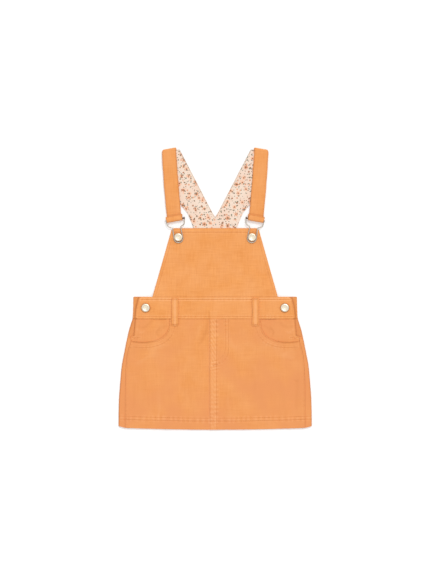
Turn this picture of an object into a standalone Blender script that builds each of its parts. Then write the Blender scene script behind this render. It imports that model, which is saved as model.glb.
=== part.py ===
"""Child's overall skirt in cotton twill, laid flat on its back with the front up.

The garment lies in the XY plane, its underside on z = 0. +Y points to the shoulders, +X to the
picture's right. Sizes are in millimetres and turned to metres where a mesh is made. Most heights
are those of a wall's middle surface, and the wall is then thickened to both sides of it.
"""

from collections import namedtuple
from math import asin, cos, hypot, pi, radians, sin, tan

import bmesh
import bpy

MM = 0.001

# Overall levels up the garment (y)
WAIST_TOP = -13.8
WAIST_FOOT = -52.3
BIB_TOP = 106.2
HEM_CENTRE = -246.2
HEM_RISE = 3.2
SEAM = 0.3

# Wall thicknesses
TWILL = 1.1
BAND = 1.5
BIB_WALL = 1.4
LINING = 1.0
STRAP_WALL = 1.8
LOOP_WALL = 1.6

# Half widths of the bib, at its top edge and where it meets the waistband
BIB_HALF_TOP = 75.6
BIB_HALF_FOOT = 109.6

# Side opening: the back is a button stand that runs under the front as far as these half widths
STAND_SKIRT = 122.0
STAND_BAND = 111.0
OPENING_FOOT = -85.0
SEAM_HEAD = -91.5
BAND_EDGE_TOP = 133.0
BAND_EDGE_FOOT = 140.0
OPENING_EDGE_FOOT = 142.3

# Heights of middle surfaces
STAND_MID = 2.05
SEAM_MID = 3.5
PANEL_LOW = 2.15
PANEL_TOP_RISE = 0.8
BAND_MID = 3.3
BAND_SIDE_MID = 4.45
BAND_STAND_MID = 2.65
BIB_OVER_YOKE = 3.4
BIB_DROOP = 1.4

# Centre front: the right panel laps over the left one
LAP_EDGE = 9.8
UNDERLAP = 3.0
LAP_RISE = TWILL + SEAM

# Pocket mouth, from the waistband down and out to the side seam (half width, y)
MOUTH_POINTS = ((78.8, WAIST_FOOT - SEAM), (80.2, -65.0), (85.2, -77.5), (95.2, -86.3),
                (108.0, -91.2), (126.0, -93.2), (146.7, SEAM_HEAD))
MOUTH_HEIGHT_INNER = 3.45
MOUTH_HEIGHT_OUTER = 4.9
FACING_INNER = 63.0
FACING_INNER_FOOT = -86.0

# Belt loops over the waistband
LOOP_CENTRE = 70.4
LOOP_HALF = 5.6
LOOP_HEAD = -15.9
LOOP_FOOT = -64.6
LOOP_BOW = 0.8

# Straps, shoulder fold and buckles; the right-hand side is described and the left is its mirror
STRAP_WIDTH = 25.0
STRAP_TILT = radians(4.5)
FOLD_TILT = radians(10.2)
FOLD_CENTRE = (80.9, 242.6)
FOLD_RADIUS = 1.7
FOLD_MID = 2.6
BACK_STRAP = 30.0
BAR_TILT = radians(10.0)
BAR_MID = 5.2
BAR_TURN = 2.4
TAIL = 7.0
BUTTON_TO_BAR = 31.4
KEYHOLE_DROP = 1.6
WIRE_RADIUS = 1.1
KEYHOLE_RADIUS = 7.7
KEYHOLE_MID = 4.5

# Back bib: the V and the outer edge of its arms
V_POINT = 125.8
V_SLOPE = 0.517
V_ROUND = 3.0
ARM_OUTER_X = 37.1
ARM_OUTER_Y = 106.6
ARM_OUTER_SLOPE = 0.4156
ARM_INNER_END = 16.2
ARM_OUTER_END = 13.0
ARM_SPREAD = 0.25
ARM_TAPER = 0.16

# Buttons
BIB_BUTTON = (64.4, 90.2)
BIB_CAP = 7.2
SIDE_BUTTON = (121.6, -33.1)
SIDE_CAP = 7.5
CAP_HEIGHT = 2.5
BIB_SHANK = 3.6
SIDE_SHANK = 2.5
BUTTONHOLE = (12.0, 5.7)
BUTTON_SIDES = 20

# Half width of the laid garment and place of the side seam, at levels up the skirt
Level = namedtuple("Level", "y outline seam")
SIDE_LEVELS = (
    Level(-13.5, 142.9, 147.4),
    Level(-50.5, 144.3, 147.4),
    Level(-61.5, 147.4, 147.4),
    Level(-72.0, 150.6, 147.4),
    Level(-92.5, 155.2, 147.5),
    Level(-104.0, 157.4, 151.2),
    Level(-117.5, 160.1, 154.2),
    Level(-135.0, 163.2, 155.8),
    Level(-163.0, 165.8, 157.0),
    Level(-198.0, 168.2, 157.4),
    Level(-247.0, 169.0, 157.4),
)

# Levels of the mesh rows of the back skirt and, at their outer ends, of the pocket facings
BACK_LEVELS = (-245.6, -232.0, -208.0, -184.0, -162.0, -140.0, -122.0, -108.0, -98.0, SEAM_HEAD,
               -88.5, OPENING_FOOT, -81.0, -72.0, -62.0, WAIST_FOOT - SEAM)
FACING_LEVELS = (-104.0, -97.0, SEAM_HEAD, -88.8, OPENING_FOOT, -69.0, WAIST_FOOT - SEAM)

# Soft ridges of the skirt front, as it lies: x where each starts and at the hem
Ridge = namedtuple("Ridge", "start_y start_x hem_x height width")
RIDGES = (
    Ridge(-112.0, -112.0, -128.0, 0.70, 9.0),
    Ridge(-135.0, -66.0, -82.0, 0.55, 12.0),
    Ridge(-92.0, -26.0, -38.0, 0.50, 11.0),
    Ridge(-105.0, 33.0, 46.0, 0.60, 12.0),
    Ridge(-142.0, 78.0, 97.0, 0.55, 11.0),
    Ridge(-118.0, 112.0, 131.0, 0.75, 9.0),
)

# Half width of the back bib below its arms
Flare = namedtuple("Flare", "y outer_y outer_x")
BACK_FLARE = (
    Flare(-13.5, -13.5, 102.0),
    Flare(5.0, 4.0, 86.0),
    Flare(26.0, 23.0, 67.0),
    Flare(48.0, 44.0, 51.0),
    Flare(70.0, 64.0, 41.0),
    Flare(90.0, 84.0, 36.5),
    Flare(108.0, 102.0, 36.4),
)

# Height of the front strap's middle surface along its length
Lie = namedtuple("Lie", "y height")
STRAP_LIE = (
    Lie(118.0, 2.8),
    Lie(134.0, 2.8),
    Lie(150.0, 3.6),
    Lie(198.0, 3.6),
    Lie(212.0, 4.3),
    Lie(260.0, 4.3),
)

# Half of the buckle's wire between bar and keyhole loop: across its axis, and down from the bar
WirePoint = namedtuple("WirePoint", "across down")
BUCKLE_SIDE = (
    WirePoint(15.2, 0.0),
    WirePoint(15.9, 1.2),
    WirePoint(15.6, 4.0),
    WirePoint(15.0, 7.6),
    WirePoint(13.3, 10.6),
    WirePoint(10.6, 12.1),
    WirePoint(8.3, 12.9),
    WirePoint(7.1, 15.0),
    WirePoint(7.1, 19.0),
    WirePoint(7.4, 24.0),
)

COLLECTION = "overall_skirt"


def clear_scene():
    """Empty the scene of everything that was in it."""
    for item in list(bpy.data.objects):
        bpy.data.objects.remove(item, do_unlink=True)


def mix(a, b, share):
    """Value at a share of the way from a to b."""
    return a + (b - a) * share


def ease(start, end, value):
    """Smooth step: 0 at start, 1 at end, whichever of them is larger."""
    share = min(1.0, max(0.0, (value - start) / (end - start)))
    return share * share * (3.0 - 2.0 * share)


def follow(rows, key, column, value):
    """Read a column of a table at a value of its key column, along a smooth curve."""
    ordered = sorted(rows, key=lambda row: getattr(row, key))
    keys = [getattr(row, key) for row in ordered]
    data = [getattr(row, column) for row in ordered]
    value = min(keys[-1], max(keys[0], value))
    last = len(keys) - 2
    index = max(i for i in range(last + 1) if keys[i] <= value)
    step = keys[index + 1] - keys[index]
    share = (value - keys[index]) / step
    before = after = data[index + 1] - data[index]
    if index > 0:
        before = (data[index + 1] - data[index - 1]) / (keys[index + 1] - keys[index - 1]) * step
    if index < last:
        after = (data[index + 2] - data[index]) / (keys[index + 2] - keys[index]) * step
    cube = share * share * share
    square = share * share
    return ((2 * cube - 3 * square + 1) * data[index] + (cube - 2 * square + share) * before
            + (3 * square - 2 * cube) * data[index + 1] + (cube - square) * after)


def outline(y):
    """Half width of the laid garment at a level."""
    return follow(SIDE_LEVELS, "y", "outline", y)


def seam(y):
    """Half width at which the side seam lies."""
    return follow(SIDE_LEVELS, "y", "seam", y)


def hem(x):
    """Level of the hem, which rises a little to the sides."""
    return HEM_CENTRE + HEM_RISE * (x / seam(HEM_CENTRE)) ** 2


# Heights of the front's layers


def panel_base(half, y):
    """Middle height of the skirt front before its ridges and laps."""
    low = PANEL_LOW + PANEL_TOP_RISE * ease(-92.0, WAIST_FOOT, y)
    plain = mix(low, SEAM_MID, min(1.0, half / seam(y)) ** 3)
    mouth = mix(MOUTH_HEIGHT_INNER, MOUTH_HEIGHT_OUTER, ease(92.0, 118.0, half))
    near_mouth = ease(38.0, 62.0, half) * ease(-118.0, -84.0, y)
    return mix(plain, mouth, near_mouth)


def ridges(x, y):
    """How far the ridges lift the cloth at a point."""
    lift = 0.0
    for ridge in RIDGES:
        if y < ridge.start_y:
            share = (ridge.start_y - y) / (ridge.start_y - HEM_CENTRE)
            off = (x - mix(ridge.start_x, ridge.hem_x, share)) / ridge.width
            lift += ridge.height * ease(0.0, 0.5, share) / (1.0 + off * off) ** 2
    return lift


def panel_mid(x, y):
    """Middle height of the skirt front, without the centre lap."""
    return panel_base(abs(x), y) + ridges(x, y) * ease(seam(y), seam(y) - 25.0, abs(x))


def band_mid(half):
    """Middle height of the front waistband, which climbs over the button stands."""
    return mix(BAND_MID, BAND_SIDE_MID, ease(74.0, STAND_BAND - 2.0, half))


def band_edge(y):
    """Half width of the front waistband, which widens quickly below its upper corner."""
    up = (y - WAIST_FOOT) / (WAIST_TOP - WAIST_FOOT)
    return mix(BAND_EDGE_FOOT, BAND_EDGE_TOP, up * up)


def bib_half(y):
    """Half width of the bib at a level."""
    return mix(BIB_HALF_FOOT, BIB_HALF_TOP, (y - WAIST_TOP) / (BIB_TOP - WAIST_TOP))


def bib_mid(half, y):
    """Middle height of the bib: it lies on the back bib and droops beyond it."""
    yoke = follow(BACK_FLARE, "outer_y", "outer_x", min(y, ARM_OUTER_Y))
    free = BIB_OVER_YOKE - BIB_DROOP * ease(3.0, 26.0, half - yoke)
    return mix(free, max(band_mid(half), BIB_OVER_YOKE), ease(26.0, WAIST_TOP, y))


# Cloth and hardware makers


def add_object(name, data, material):
    """Link one named piece with its own material."""
    item = bpy.data.objects.new(name, data)
    item.data.materials.append(material)
    bpy.data.collections[COLLECTION].objects.link(item)
    return item


def make_material(name, colour, roughness, metallic=0.0):
    """A plain Principled material."""
    material = bpy.data.materials.new(name)
    material.use_nodes = True
    shader = material.node_tree.nodes["Principled BSDF"]
    shader.inputs["Base Color"].default_value = (*colour, 1.0)
    shader.inputs["Roughness"].default_value = roughness
    shader.inputs["Metallic"].default_value = metallic
    material.diffuse_color = (*colour, 1.0)
    return material


def cloth(name, columns, rows, place, wall, material, mirrored=False):
    """A sheet laid by place(u, v), u across and v along, and thickened to its wall."""
    frame = bmesh.new()
    bmesh.ops.create_grid(frame, x_segments=columns, y_segments=rows, size=0.5)
    for vertex in frame.verts:
        x, y, z = place(vertex.co.x + 0.5, vertex.co.y + 0.5)
        vertex.co = (x * MM, y * MM, z * MM)
    mesh = bpy.data.meshes.new(name)
    frame.to_mesh(mesh)
    frame.free()
    mesh.shade_smooth()
    item = add_object(name, mesh, material)
    if mirrored:
        mirror = item.modifiers.new("Other half", "MIRROR")
        mirror.merge_threshold = 0.00002
    thicken = item.modifiers.new("Wall", "SOLIDIFY")
    thicken.thickness = wall * MM
    thicken.offset = 0.0
    thicken.use_even_offset = True
    return item


def turned(name, profile, centre, steps, material):
    """A round piece turned from (radius, height) points that run down its outer side."""
    mesh = bpy.data.meshes.new(name)
    points = [(radius * MM, 0.0, height * MM) for radius, height in profile]
    edges = [(i, i + 1) for i in range(len(points) - 1)]
    mesh.from_pydata(points, edges, [])
    item = add_object(name, mesh, material)
    item.location = (centre[0] * MM, centre[1] * MM, centre[2] * MM)
    screw = item.modifiers.new("Turn", "SCREW")
    screw.steps = steps
    screw.render_steps = steps
    screw.use_merge_vertices = True
    screw.merge_threshold = 0.00001
    return item


def wire(name, points, radius, material):
    """A closed ring of round wire through the points."""
    curve = bpy.data.curves.new(name, "CURVE")
    curve.dimensions = "3D"
    curve.bevel_depth = radius * MM
    curve.bevel_resolution = 2
    curve.resolution_u = 1
    curve.render_resolution_u = 0
    spline = curve.splines.new("POLY")
    spline.points.add(len(points) - 1)
    for point, (x, y, z) in zip(spline.points, points):
        point.co = (x * MM, y * MM, z * MM, 1.0)
    spline.use_cyclic_u = True
    return add_object(name, curve, material)


# The back


def wrapped_section(share, y, wall, inner, fold_mid, inner_mid):
    """Half of a back panel's section: flat below, a fold at the outline, then turned forward."""
    flat_share, fold_share = 4 / 12, 5 / 12
    radius = (fold_mid - wall / 2) / 2
    turn_x = outline(y) - wall / 2 - radius
    if share <= flat_share:
        return turn_x * (share / flat_share), wall / 2
    if share <= flat_share + fold_share:
        angle = pi * (share - flat_share) / fold_share
        return turn_x + radius * sin(angle), wall / 2 + radius * (1.0 - cos(angle))
    over = (share - flat_share - fold_share) / (1.0 - flat_share - fold_share)
    return mix(turn_x, inner, over), mix(fold_mid, inner_mid, ease(0.0, 0.33, over))


def back_skirt_place(u, v):
    """The back skirt panel with its strips turned to the front."""
    y = BACK_LEVELS[round(v * (len(BACK_LEVELS) - 1))]
    closed = ease(OPENING_FOOT + 4.0, OPENING_FOOT, y)
    inner = mix(STAND_SKIRT, seam(min(y, SEAM_HEAD)) + SEAM, closed)
    joined = ease(OPENING_FOOT, SEAM_HEAD, y)
    inner_mid = mix(STAND_MID, panel_base(seam(y), min(y, SEAM_HEAD)), joined)
    fold_mid = mix(STAND_MID, SEAM_MID, ease(-56.0, -98.0, y)) + 0.1
    fold_mid = max(fold_mid, inner_mid - 0.3)
    x, z = wrapped_section(u, y, TWILL, inner, fold_mid, inner_mid)
    return x, y + (hem(x) - HEM_CENTRE) * (1.0 - v) ** 2, z


def back_waistband_place(u, v):
    """The back waistband, whose ends turn forward as button stands."""
    y = mix(WAIST_FOOT, WAIST_TOP, v)
    x, z = wrapped_section(u, y, BAND, STAND_BAND, BAND_STAND_MID, BAND_STAND_MID)
    return x, y, z


def v_edge(y):
    """Inner edge of a shoulder arm: half width of the V, rounded at its point, at a level."""
    depth = y - V_POINT + V_ROUND
    return V_SLOPE * max(0.0, depth * depth - V_ROUND * V_ROUND) ** 0.5


def arm_outer(y):
    """Outer edge of a shoulder arm."""
    return ARM_OUTER_X + ARM_OUTER_SLOPE * (y - ARM_OUTER_Y)


def yoke_rows(arm_count, reach):
    """Edge pairs (inner, outer) up the back bib's right half, to a distance short of the fold."""
    rows = [((0.0, row.y), (row.outer_x, row.outer_y)) for row in BACK_FLARE]
    fold_y = FOLD_CENTRE[1]
    inner_end = fold_y - reach * cos(FOLD_TILT) + (ARM_INNER_END + ARM_SPREAD * reach) * sin(FOLD_TILT)
    outer_end = fold_y - reach * cos(FOLD_TILT) - (ARM_OUTER_END - ARM_TAPER * reach) * sin(FOLD_TILT)
    for step in range(arm_count + 1):
        share = step / arm_count
        inner_y = mix(V_POINT, inner_end, share)
        outer_y = mix(117.0, outer_end, share)
        rows.append(((v_edge(inner_y), inner_y), (arm_outer(outer_y), outer_y)))
    return rows


def yoke_sheet(name, rows, columns, inset, height, wall, material):
    """Half of the back bib's outline between its edge pairs, set in by an inset, and mirrored."""
    last = len(rows) - 1

    def place(u, v):
        (inner_x, inner_y), (outer_x, outer_y) = rows[round(v * last)]
        length = hypot(outer_x - inner_x, outer_y - inner_y)
        start = inset / length if inner_x > 0.0 else 0.0
        share = mix(start, 1.0 - inset / length, u)
        x, y = mix(inner_x, outer_x, share), mix(inner_y, outer_y, share)
        return x, y, height(x, y)

    return cloth(name, columns, last, place, wall, material, mirrored=True)


def lining_height(x, y):
    """Middle height of the lining: on the back bib, then over the strap's back end."""
    from_fold = (FOLD_CENTRE[0] - x) * sin(FOLD_TILT) + (FOLD_CENTRE[1] - y) * cos(FOLD_TILT)
    over_strap = ease(BACK_STRAP + 9.0, BACK_STRAP + 1.0, from_fold)
    return mix(TWILL, STRAP_WALL, over_strap) + SEAM + LINING / 2


# The front


def along_mouth(share):
    """Point at a share of the length of the pocket mouth."""
    lengths = [hypot(b[0] - a[0], b[1] - a[1]) for a, b in zip(MOUTH_POINTS, MOUTH_POINTS[1:])]
    target = share * sum(lengths)
    for start, end, length in zip(MOUTH_POINTS, MOUTH_POINTS[1:], lengths):
        if target <= length + 1e-9:
            part = target / length
            return mix(start[0], end[0], part), mix(start[1], end[1], part)
        target -= length
    return MOUTH_POINTS[-1]


def skirt_front_place(side, inner, raised):
    """Half of the skirt front, from its edge at the centre to the pocket mouth and side seam."""
    top_share = 0.5
    seam_foot = seam(HEM_CENTRE) - SEAM / 2

    def place(u, v):
        if u <= top_share:
            head = (mix(-inner, MOUTH_POINTS[0][0], u / top_share), MOUTH_POINTS[0][1])
        else:
            head = along_mouth((u - top_share) / (1.0 - top_share))
        even = (head[0] + inner) / (MOUTH_POINTS[-1][0] + inner)
        foot_x = mix(-inner, seam_foot, mix(even, u, 0.4))
        half = mix(foot_x, head[0], v)
        y = mix(hem(abs(foot_x)), head[1], v)
        straight = mix(seam_foot, MOUTH_POINTS[-1][0], v)
        half += (seam(y) - SEAM / 2 - straight) * u ** 6
        lap = raised * ease(14.0, UNDERLAP + 1.0, half)
        return side * half, y, panel_mid(side * half, y) + lap

    return place


def facing_place(side):
    """The pocket facing: it fills the mouth and runs on under the skirt front."""

    def place(u, v):
        level = FACING_LEVELS[round(v * (len(FACING_LEVELS) - 1))]
        edge = mix(BAND_EDGE_FOOT, OPENING_EDGE_FOOT, ease(WAIST_FOOT, OPENING_FOOT, level))
        edge = mix(edge, seam(min(level, SEAM_HEAD)) - 1.0, ease(OPENING_FOOT, SEAM_HEAD + 2.5, level))
        half = mix(FACING_INNER, edge, u)
        foot = mix(FACING_INNER_FOOT, FACING_LEVELS[0], ease(FACING_INNER, 110.0, half))
        share = (level - FACING_LEVELS[0]) / (FACING_LEVELS[-1] - FACING_LEVELS[0])
        y = mix(foot, FACING_LEVELS[-1], share)
        return side * half, y, panel_base(half, y) - TWILL - SEAM + 0.05

    return place


def bib_place(u, v):
    """Right half of the bib."""
    y = mix(WAIST_TOP + SEAM, BIB_TOP, v)
    half = bib_half(y) * u
    return half, y, bib_mid(half, y)


def waistband_place(u, v):
    """Right half of the front waistband."""
    y = mix(WAIST_FOOT, WAIST_TOP, v)
    half = band_edge(y) * u
    return half, y, band_mid(half)


def belt_loop_place(side):
    """A belt loop over the front waistband, with a slight bow between its tacks."""
    seat = BAND_MID + BAND / 2 + SEAM + LOOP_WALL / 2

    def place(u, v):
        half = mix(LOOP_CENTRE - LOOP_HALF, LOOP_CENTRE + LOOP_HALF, u)
        bow = LOOP_BOW * sin(pi * v) ** 2
        return side * half, mix(LOOP_FOOT, LOOP_HEAD, v), seat + bow

    return place


# Straps and hardware


def bar_centre():
    """Middle of the buckle's bar, up the buckle's axis from the bib button."""
    return (BIB_BUTTON[0] + BUTTON_TO_BAR * sin(BAR_TILT), BIB_BUTTON[1] + BUTTON_TO_BAR * cos(BAR_TILT))


def strap_place(side, along, shear):
    """The strap, cut flat, then turned round the buckle's bar and over the shoulder fold."""
    strap_dir = (sin(STRAP_TILT), cos(STRAP_TILT))
    across_dir = (cos(STRAP_TILT), -sin(STRAP_TILT))
    fold_up = (sin(FOLD_TILT), cos(FOLD_TILT))
    bar_down = (-sin(BAR_TILT), -cos(BAR_TILT))
    bar = bar_centre()
    last = len(along) - 1

    def place(u, v):
        row = round(v * last)
        off = (u - 0.5) * STRAP_WIDTH
        run = along[row] + shear[row] * off
        x = FOLD_CENTRE[0] + run * strap_dir[0] + off * across_dir[0]
        y = FOLD_CENTRE[1] + run * strap_dir[1] + off * across_dir[1]
        z = follow(STRAP_LIE, "y", "height", y)
        past_fold = (x - FOLD_CENTRE[0]) * fold_up[0] + (y - FOLD_CENTRE[1]) * fold_up[1]
        past_bar = (x - bar[0]) * bar_down[0] + (y - bar[1]) * bar_down[1]
        if past_fold > 0.0:
            shift, z = turn(past_fold, FOLD_RADIUS, FOLD_MID, -1.0)
            x += (shift - past_fold) * fold_up[0]
            y += (shift - past_fold) * fold_up[1]
        elif past_bar > 0.0:
            shift, z = turn(past_bar, BAR_TURN, BAR_MID, 1.0)
            x += (shift - past_bar) * bar_down[0]
            y += (shift - past_bar) * bar_down[1]
            z -= 0.1 * max(0.0, -shift)
        return side * x, y, z

    return place


def turn(past, radius, centre_z, way):
    """Where cloth lies that runs past the start of a half turn, up (way 1) or down (way -1)."""
    if past >= pi * radius:
        return pi * radius - past, centre_z + way * radius
    return radius * sin(past / radius), centre_z - way * radius * cos(past / radius)


def strap_rows():
    """Distances along the strap of its mesh rows, and how far each row is sheared."""
    bar = bar_centre()
    bar_run = ((bar[0] - FOLD_CENTRE[0]) * sin(STRAP_TILT) + (bar[1] - FOLD_CENTRE[1]) * cos(STRAP_TILT))
    bar_shear = -tan(BAR_TILT - STRAP_TILT)
    fold_shear = -tan(FOLD_TILT - STRAP_TILT)
    bar_lean = 1.0 / cos(BAR_TILT - STRAP_TILT)
    fold_lean = 1.0 / cos(FOLD_TILT - STRAP_TILT)
    turn_steps, front_steps, back_steps = 6, 11, 3
    along = []
    shear = []
    for step in range(3):
        along.append(bar_run - (pi * BAR_TURN + TAIL * (1.0 - step / 2)) * bar_lean)
        shear.append(bar_shear)
    for step in range(1, turn_steps + 1):
        along.append(bar_run - pi * BAR_TURN * (1.0 - step / turn_steps) * bar_lean)
        shear.append(bar_shear)
    for step in range(1, front_steps + 1):
        share = step / front_steps
        along.append(mix(bar_run, 0.0, share))
        shear.append(mix(bar_shear, fold_shear, share))
    for step in range(1, turn_steps + 1):
        along.append(pi * FOLD_RADIUS * step / turn_steps * fold_lean)
        shear.append(fold_shear)
    for step in range(1, back_steps + 1):
        along.append((pi * FOLD_RADIUS + BACK_STRAP * step / back_steps) * fold_lean)
        shear.append(fold_shear)
    return along, shear


def buckle_points(side):
    """Centre line of the buckle's wire: bar, sides, shoulders and keyhole loop."""
    bar_x, bar_y = bar_centre()
    loop_head = asin(BUCKLE_SIDE[-1].across / KEYHOLE_RADIUS)
    loop_steps = 13
    keyhole_down = BUTTON_TO_BAR + KEYHOLE_DROP
    half = [(point.across, point.down) for point in BUCKLE_SIDE]
    for step in range(loop_steps + 1):
        angle = mix(loop_head, 2 * pi - loop_head, step / loop_steps)
        half.append((KEYHOLE_RADIUS * sin(angle), keyhole_down - KEYHOLE_RADIUS * cos(angle)))
    ring = half + [(-point.across, point.down) for point in reversed(BUCKLE_SIDE)]
    points = []
    for across, down in ring:
        x = bar_x + across * cos(BAR_TILT) - down * sin(BAR_TILT)
        y = bar_y - across * sin(BAR_TILT) - down * cos(BAR_TILT)
        points.append((side * x, y, mix(BAR_MID, KEYHOLE_MID, ease(3.0, 16.0, down))))
    return points


def button_profile(cap, shank, seat, cap_foot):
    """Outline of a tack button, from the middle of its cap down to the end of its shank."""
    top = cap_foot + CAP_HEIGHT
    return ((0.0, top - 0.4), (cap * 0.45, top - 0.4), (cap * 0.62, top), (cap * 0.86, top - 0.15),
            (cap, top - 0.9), (cap, cap_foot + 0.6), (cap * 0.9, cap_foot), (shank, cap_foot),
            (shank, seat), (0.0, seat))


def cut_buttonhole(item, side):
    """Cut the slot that a side button passes through."""
    length, width = BUTTONHOLE
    cutters = bpy.data.collections["cutters"]
    frame = bmesh.new()
    bmesh.ops.create_cube(frame, size=1.0)
    for vertex in frame.verts:
        vertex.co = (vertex.co.x * length * MM, vertex.co.y * width * MM, vertex.co.z * 8.0 * MM)
    upright = [edge for edge in frame.edges if abs(edge.verts[0].co.z - edge.verts[1].co.z) > MM]
    bmesh.ops.bevel(frame, geom=upright, offset=width * 0.49 * MM, segments=3, profile=0.5,
                     affect="EDGES")
    mesh = bpy.data.meshes.new("buttonhole")
    frame.to_mesh(mesh)
    frame.free()
    cutter = bpy.data.objects.new("buttonhole", mesh)
    cutter.location = (side * (SIDE_BUTTON[0] - 2.0) * MM, SIDE_BUTTON[1] * MM, BAND_SIDE_MID * MM)
    cutter.hide_render = True
    cutter.display_type = "WIRE"
    cutters.objects.link(cutter)
    cut = item.modifiers.new("Buttonhole", "BOOLEAN")
    cut.operation = "DIFFERENCE"
    cut.object = cutter


def build():
    """Make every piece of the garment."""
    clear_scene()
    for name in (COLLECTION, "cutters"):
        bpy.context.scene.collection.children.link(bpy.data.collections.new(name))
    twill = {"colour": (0.89, 0.38, 0.13), "roughness": 0.85}
    print_cotton = {"colour": (0.93, 0.76, 0.64), "roughness": 0.85}
    nickel = {"colour": (0.78, 0.76, 0.72), "roughness": 0.32, "metallic": 1.0}

    cloth("back_skirt", 12, len(BACK_LEVELS) - 1, back_skirt_place, TWILL,
          make_material("back skirt twill", **twill), True)
    cloth("back_waistband", 12, 3, back_waistband_place, BAND,
          make_material("back waistband twill", **twill), True)
    yoke_sheet("back_bib", yoke_rows(7, BACK_STRAP + SEAM), 5, 0.0, lambda x, y: TWILL / 2, TWILL,
               make_material("back bib twill", **twill))
    yoke_sheet("back_lining", yoke_rows(12, 2.0), 5, 1.0, lining_height, LINING,
               make_material("printed lining cotton", **print_cotton))

    cloth("front_bib", 8, 12, bib_place, BIB_WALL, make_material("front bib twill", **twill), True)
    waistband = cloth("front_waistband", 12, 3, waistband_place, BAND,
                      make_material("front waistband twill", **twill), True)
    along, shear = strap_rows()
    shank_seat = BAND_STAND_MID + BAND / 2 + SEAM
    band_top = BAND_SIDE_MID + BAND / 2
    bib_top = bib_mid(*BIB_BUTTON) + BIB_WALL / 2
    for side, hand in ((-1, "left"), (1, "right")):
        inner, raised = (UNDERLAP, 0.0) if side < 0 else (LAP_EDGE, LAP_RISE)
        cloth("front_skirt_" + hand, 18, 18, skirt_front_place(side, inner, raised), TWILL,
              make_material("front skirt twill " + hand, **twill))
        cloth("pocket_facing_" + hand, 8, len(FACING_LEVELS) - 1, facing_place(side), TWILL,
              make_material("pocket facing twill " + hand, **twill))
        cloth("belt_loop_" + hand, 2, 8, belt_loop_place(side), LOOP_WALL,
              make_material("belt loop twill " + hand, **twill))
        cloth("strap_" + hand, 4, len(along) - 1, strap_place(side, along, shear), STRAP_WALL,
              make_material("strap twill " + hand, **twill))
        wire("buckle_" + hand, buckle_points(side), WIRE_RADIUS,
             make_material("buckle nickel " + hand, **nickel))
        turned("bib_button_" + hand,
               button_profile(BIB_CAP, BIB_SHANK, bib_top + SEAM, KEYHOLE_MID + WIRE_RADIUS + SEAM),
               (side * BIB_BUTTON[0], BIB_BUTTON[1], 0.0), BUTTON_SIDES,
               make_material("bib button nickel " + hand, **nickel))
        turned("side_button_" + hand,
               button_profile(SIDE_CAP, SIDE_SHANK, shank_seat, band_top + SEAM),
               (side * SIDE_BUTTON[0], SIDE_BUTTON[1], 0.0), BUTTON_SIDES,
               make_material("side button nickel " + hand, **nickel))
        cut_buttonhole(waistband, side)


build()
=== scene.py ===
"""Looks of a child's overall skirt in cotton twill, laid flat with its front up.

Run as a script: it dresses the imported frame, piece by piece, and sets a pale stage round it.
Lengths inside the makers are in millimetres, and are turned to metres where a mesh is written.
"""

from collections import namedtuple

import bpy
import numpy as np
from bpy.props import FloatProperty, FloatVectorProperty, IntProperty, PointerProperty, StringProperty
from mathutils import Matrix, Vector


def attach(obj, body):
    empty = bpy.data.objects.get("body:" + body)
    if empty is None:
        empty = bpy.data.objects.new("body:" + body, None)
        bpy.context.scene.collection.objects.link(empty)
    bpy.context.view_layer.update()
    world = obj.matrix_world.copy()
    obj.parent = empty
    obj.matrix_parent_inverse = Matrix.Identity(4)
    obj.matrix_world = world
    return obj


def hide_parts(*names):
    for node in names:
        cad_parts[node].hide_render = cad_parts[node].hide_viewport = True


bl_info = {
    "name": "Overall skirt",
    "version": (1, 0, 0),
    "blender": (4, 5, 0),
    "location": "3D View > Sidebar > Overall skirt",
    "description": "Dresses the pieces of a child's overall skirt that lies flat",
    "category": "Object",
}

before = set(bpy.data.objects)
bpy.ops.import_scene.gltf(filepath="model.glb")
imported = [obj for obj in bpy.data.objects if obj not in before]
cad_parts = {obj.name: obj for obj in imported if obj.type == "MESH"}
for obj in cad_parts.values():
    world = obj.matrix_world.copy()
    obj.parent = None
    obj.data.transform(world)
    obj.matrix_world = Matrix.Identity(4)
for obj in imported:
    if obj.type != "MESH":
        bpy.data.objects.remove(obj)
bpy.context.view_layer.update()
MM = 0.001
BODY = "root"

# ---------------------------------------------------------------- sizes of the cut, in millimetres

WAIST_TOP, WAIST_FOOT, BIB_TOP = -13.8, -52.3, 106.2
HEM_CENTRE, HEM_RISE = -246.2, 3.2
HEM_ROWS, CORNER_RISE = (14.8, 20.1), 2.5
SEAM, TUCK = 0.3, 0.15
TWILL, BAND, BIB_WALL, LINING, STRAP_WALL, LOOP_WALL = 1.1, 1.5, 1.4, 1.0, 1.8, 1.6
BIB_HALF_TOP, BIB_HALF_FOOT = 75.6, 109.6
STAND_SKIRT, STAND_BAND = 122.0, 111.0
OPENING_FOOT, SEAM_HEAD = -85.0, -91.5
BAND_EDGE_TOP, BAND_EDGE_FOOT, OPENING_EDGE_FOOT = 133.0, 140.0, 142.3
STAND_MID, SEAM_MID, PANEL_LOW, PANEL_TOP_RISE = 2.05, 3.5, 2.15, 0.8
BAND_MID, BAND_SIDE_MID, BAND_STAND_MID = 3.3, 4.45, 2.65
BIB_OVER_YOKE, BIB_DROOP = 3.4, 1.4
LAP_EDGE, UNDERLAP, LAP_RISE = 9.8, 3.0, 1.4
LAP_STITCH = 2.4
MOUTH_POINTS = ((78.8, WAIST_FOOT + TUCK), (80.2, -65.0), (85.2, -77.5), (95.2, -86.3),
                (108.0, -91.2), (126.0, -93.2), (146.7, SEAM_HEAD))
MOUTH_HEIGHT_INNER, MOUTH_HEIGHT_OUTER = 3.45, 4.9
FACING_INNER, FACING_INNER_FOOT, FACING_FOOT = 63.0, -86.0, -104.0
LOOP_CENTRE, LOOP_HALF, LOOP_HEAD, LOOP_FOOT = 70.4, 5.6, -15.9, -64.6
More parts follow.
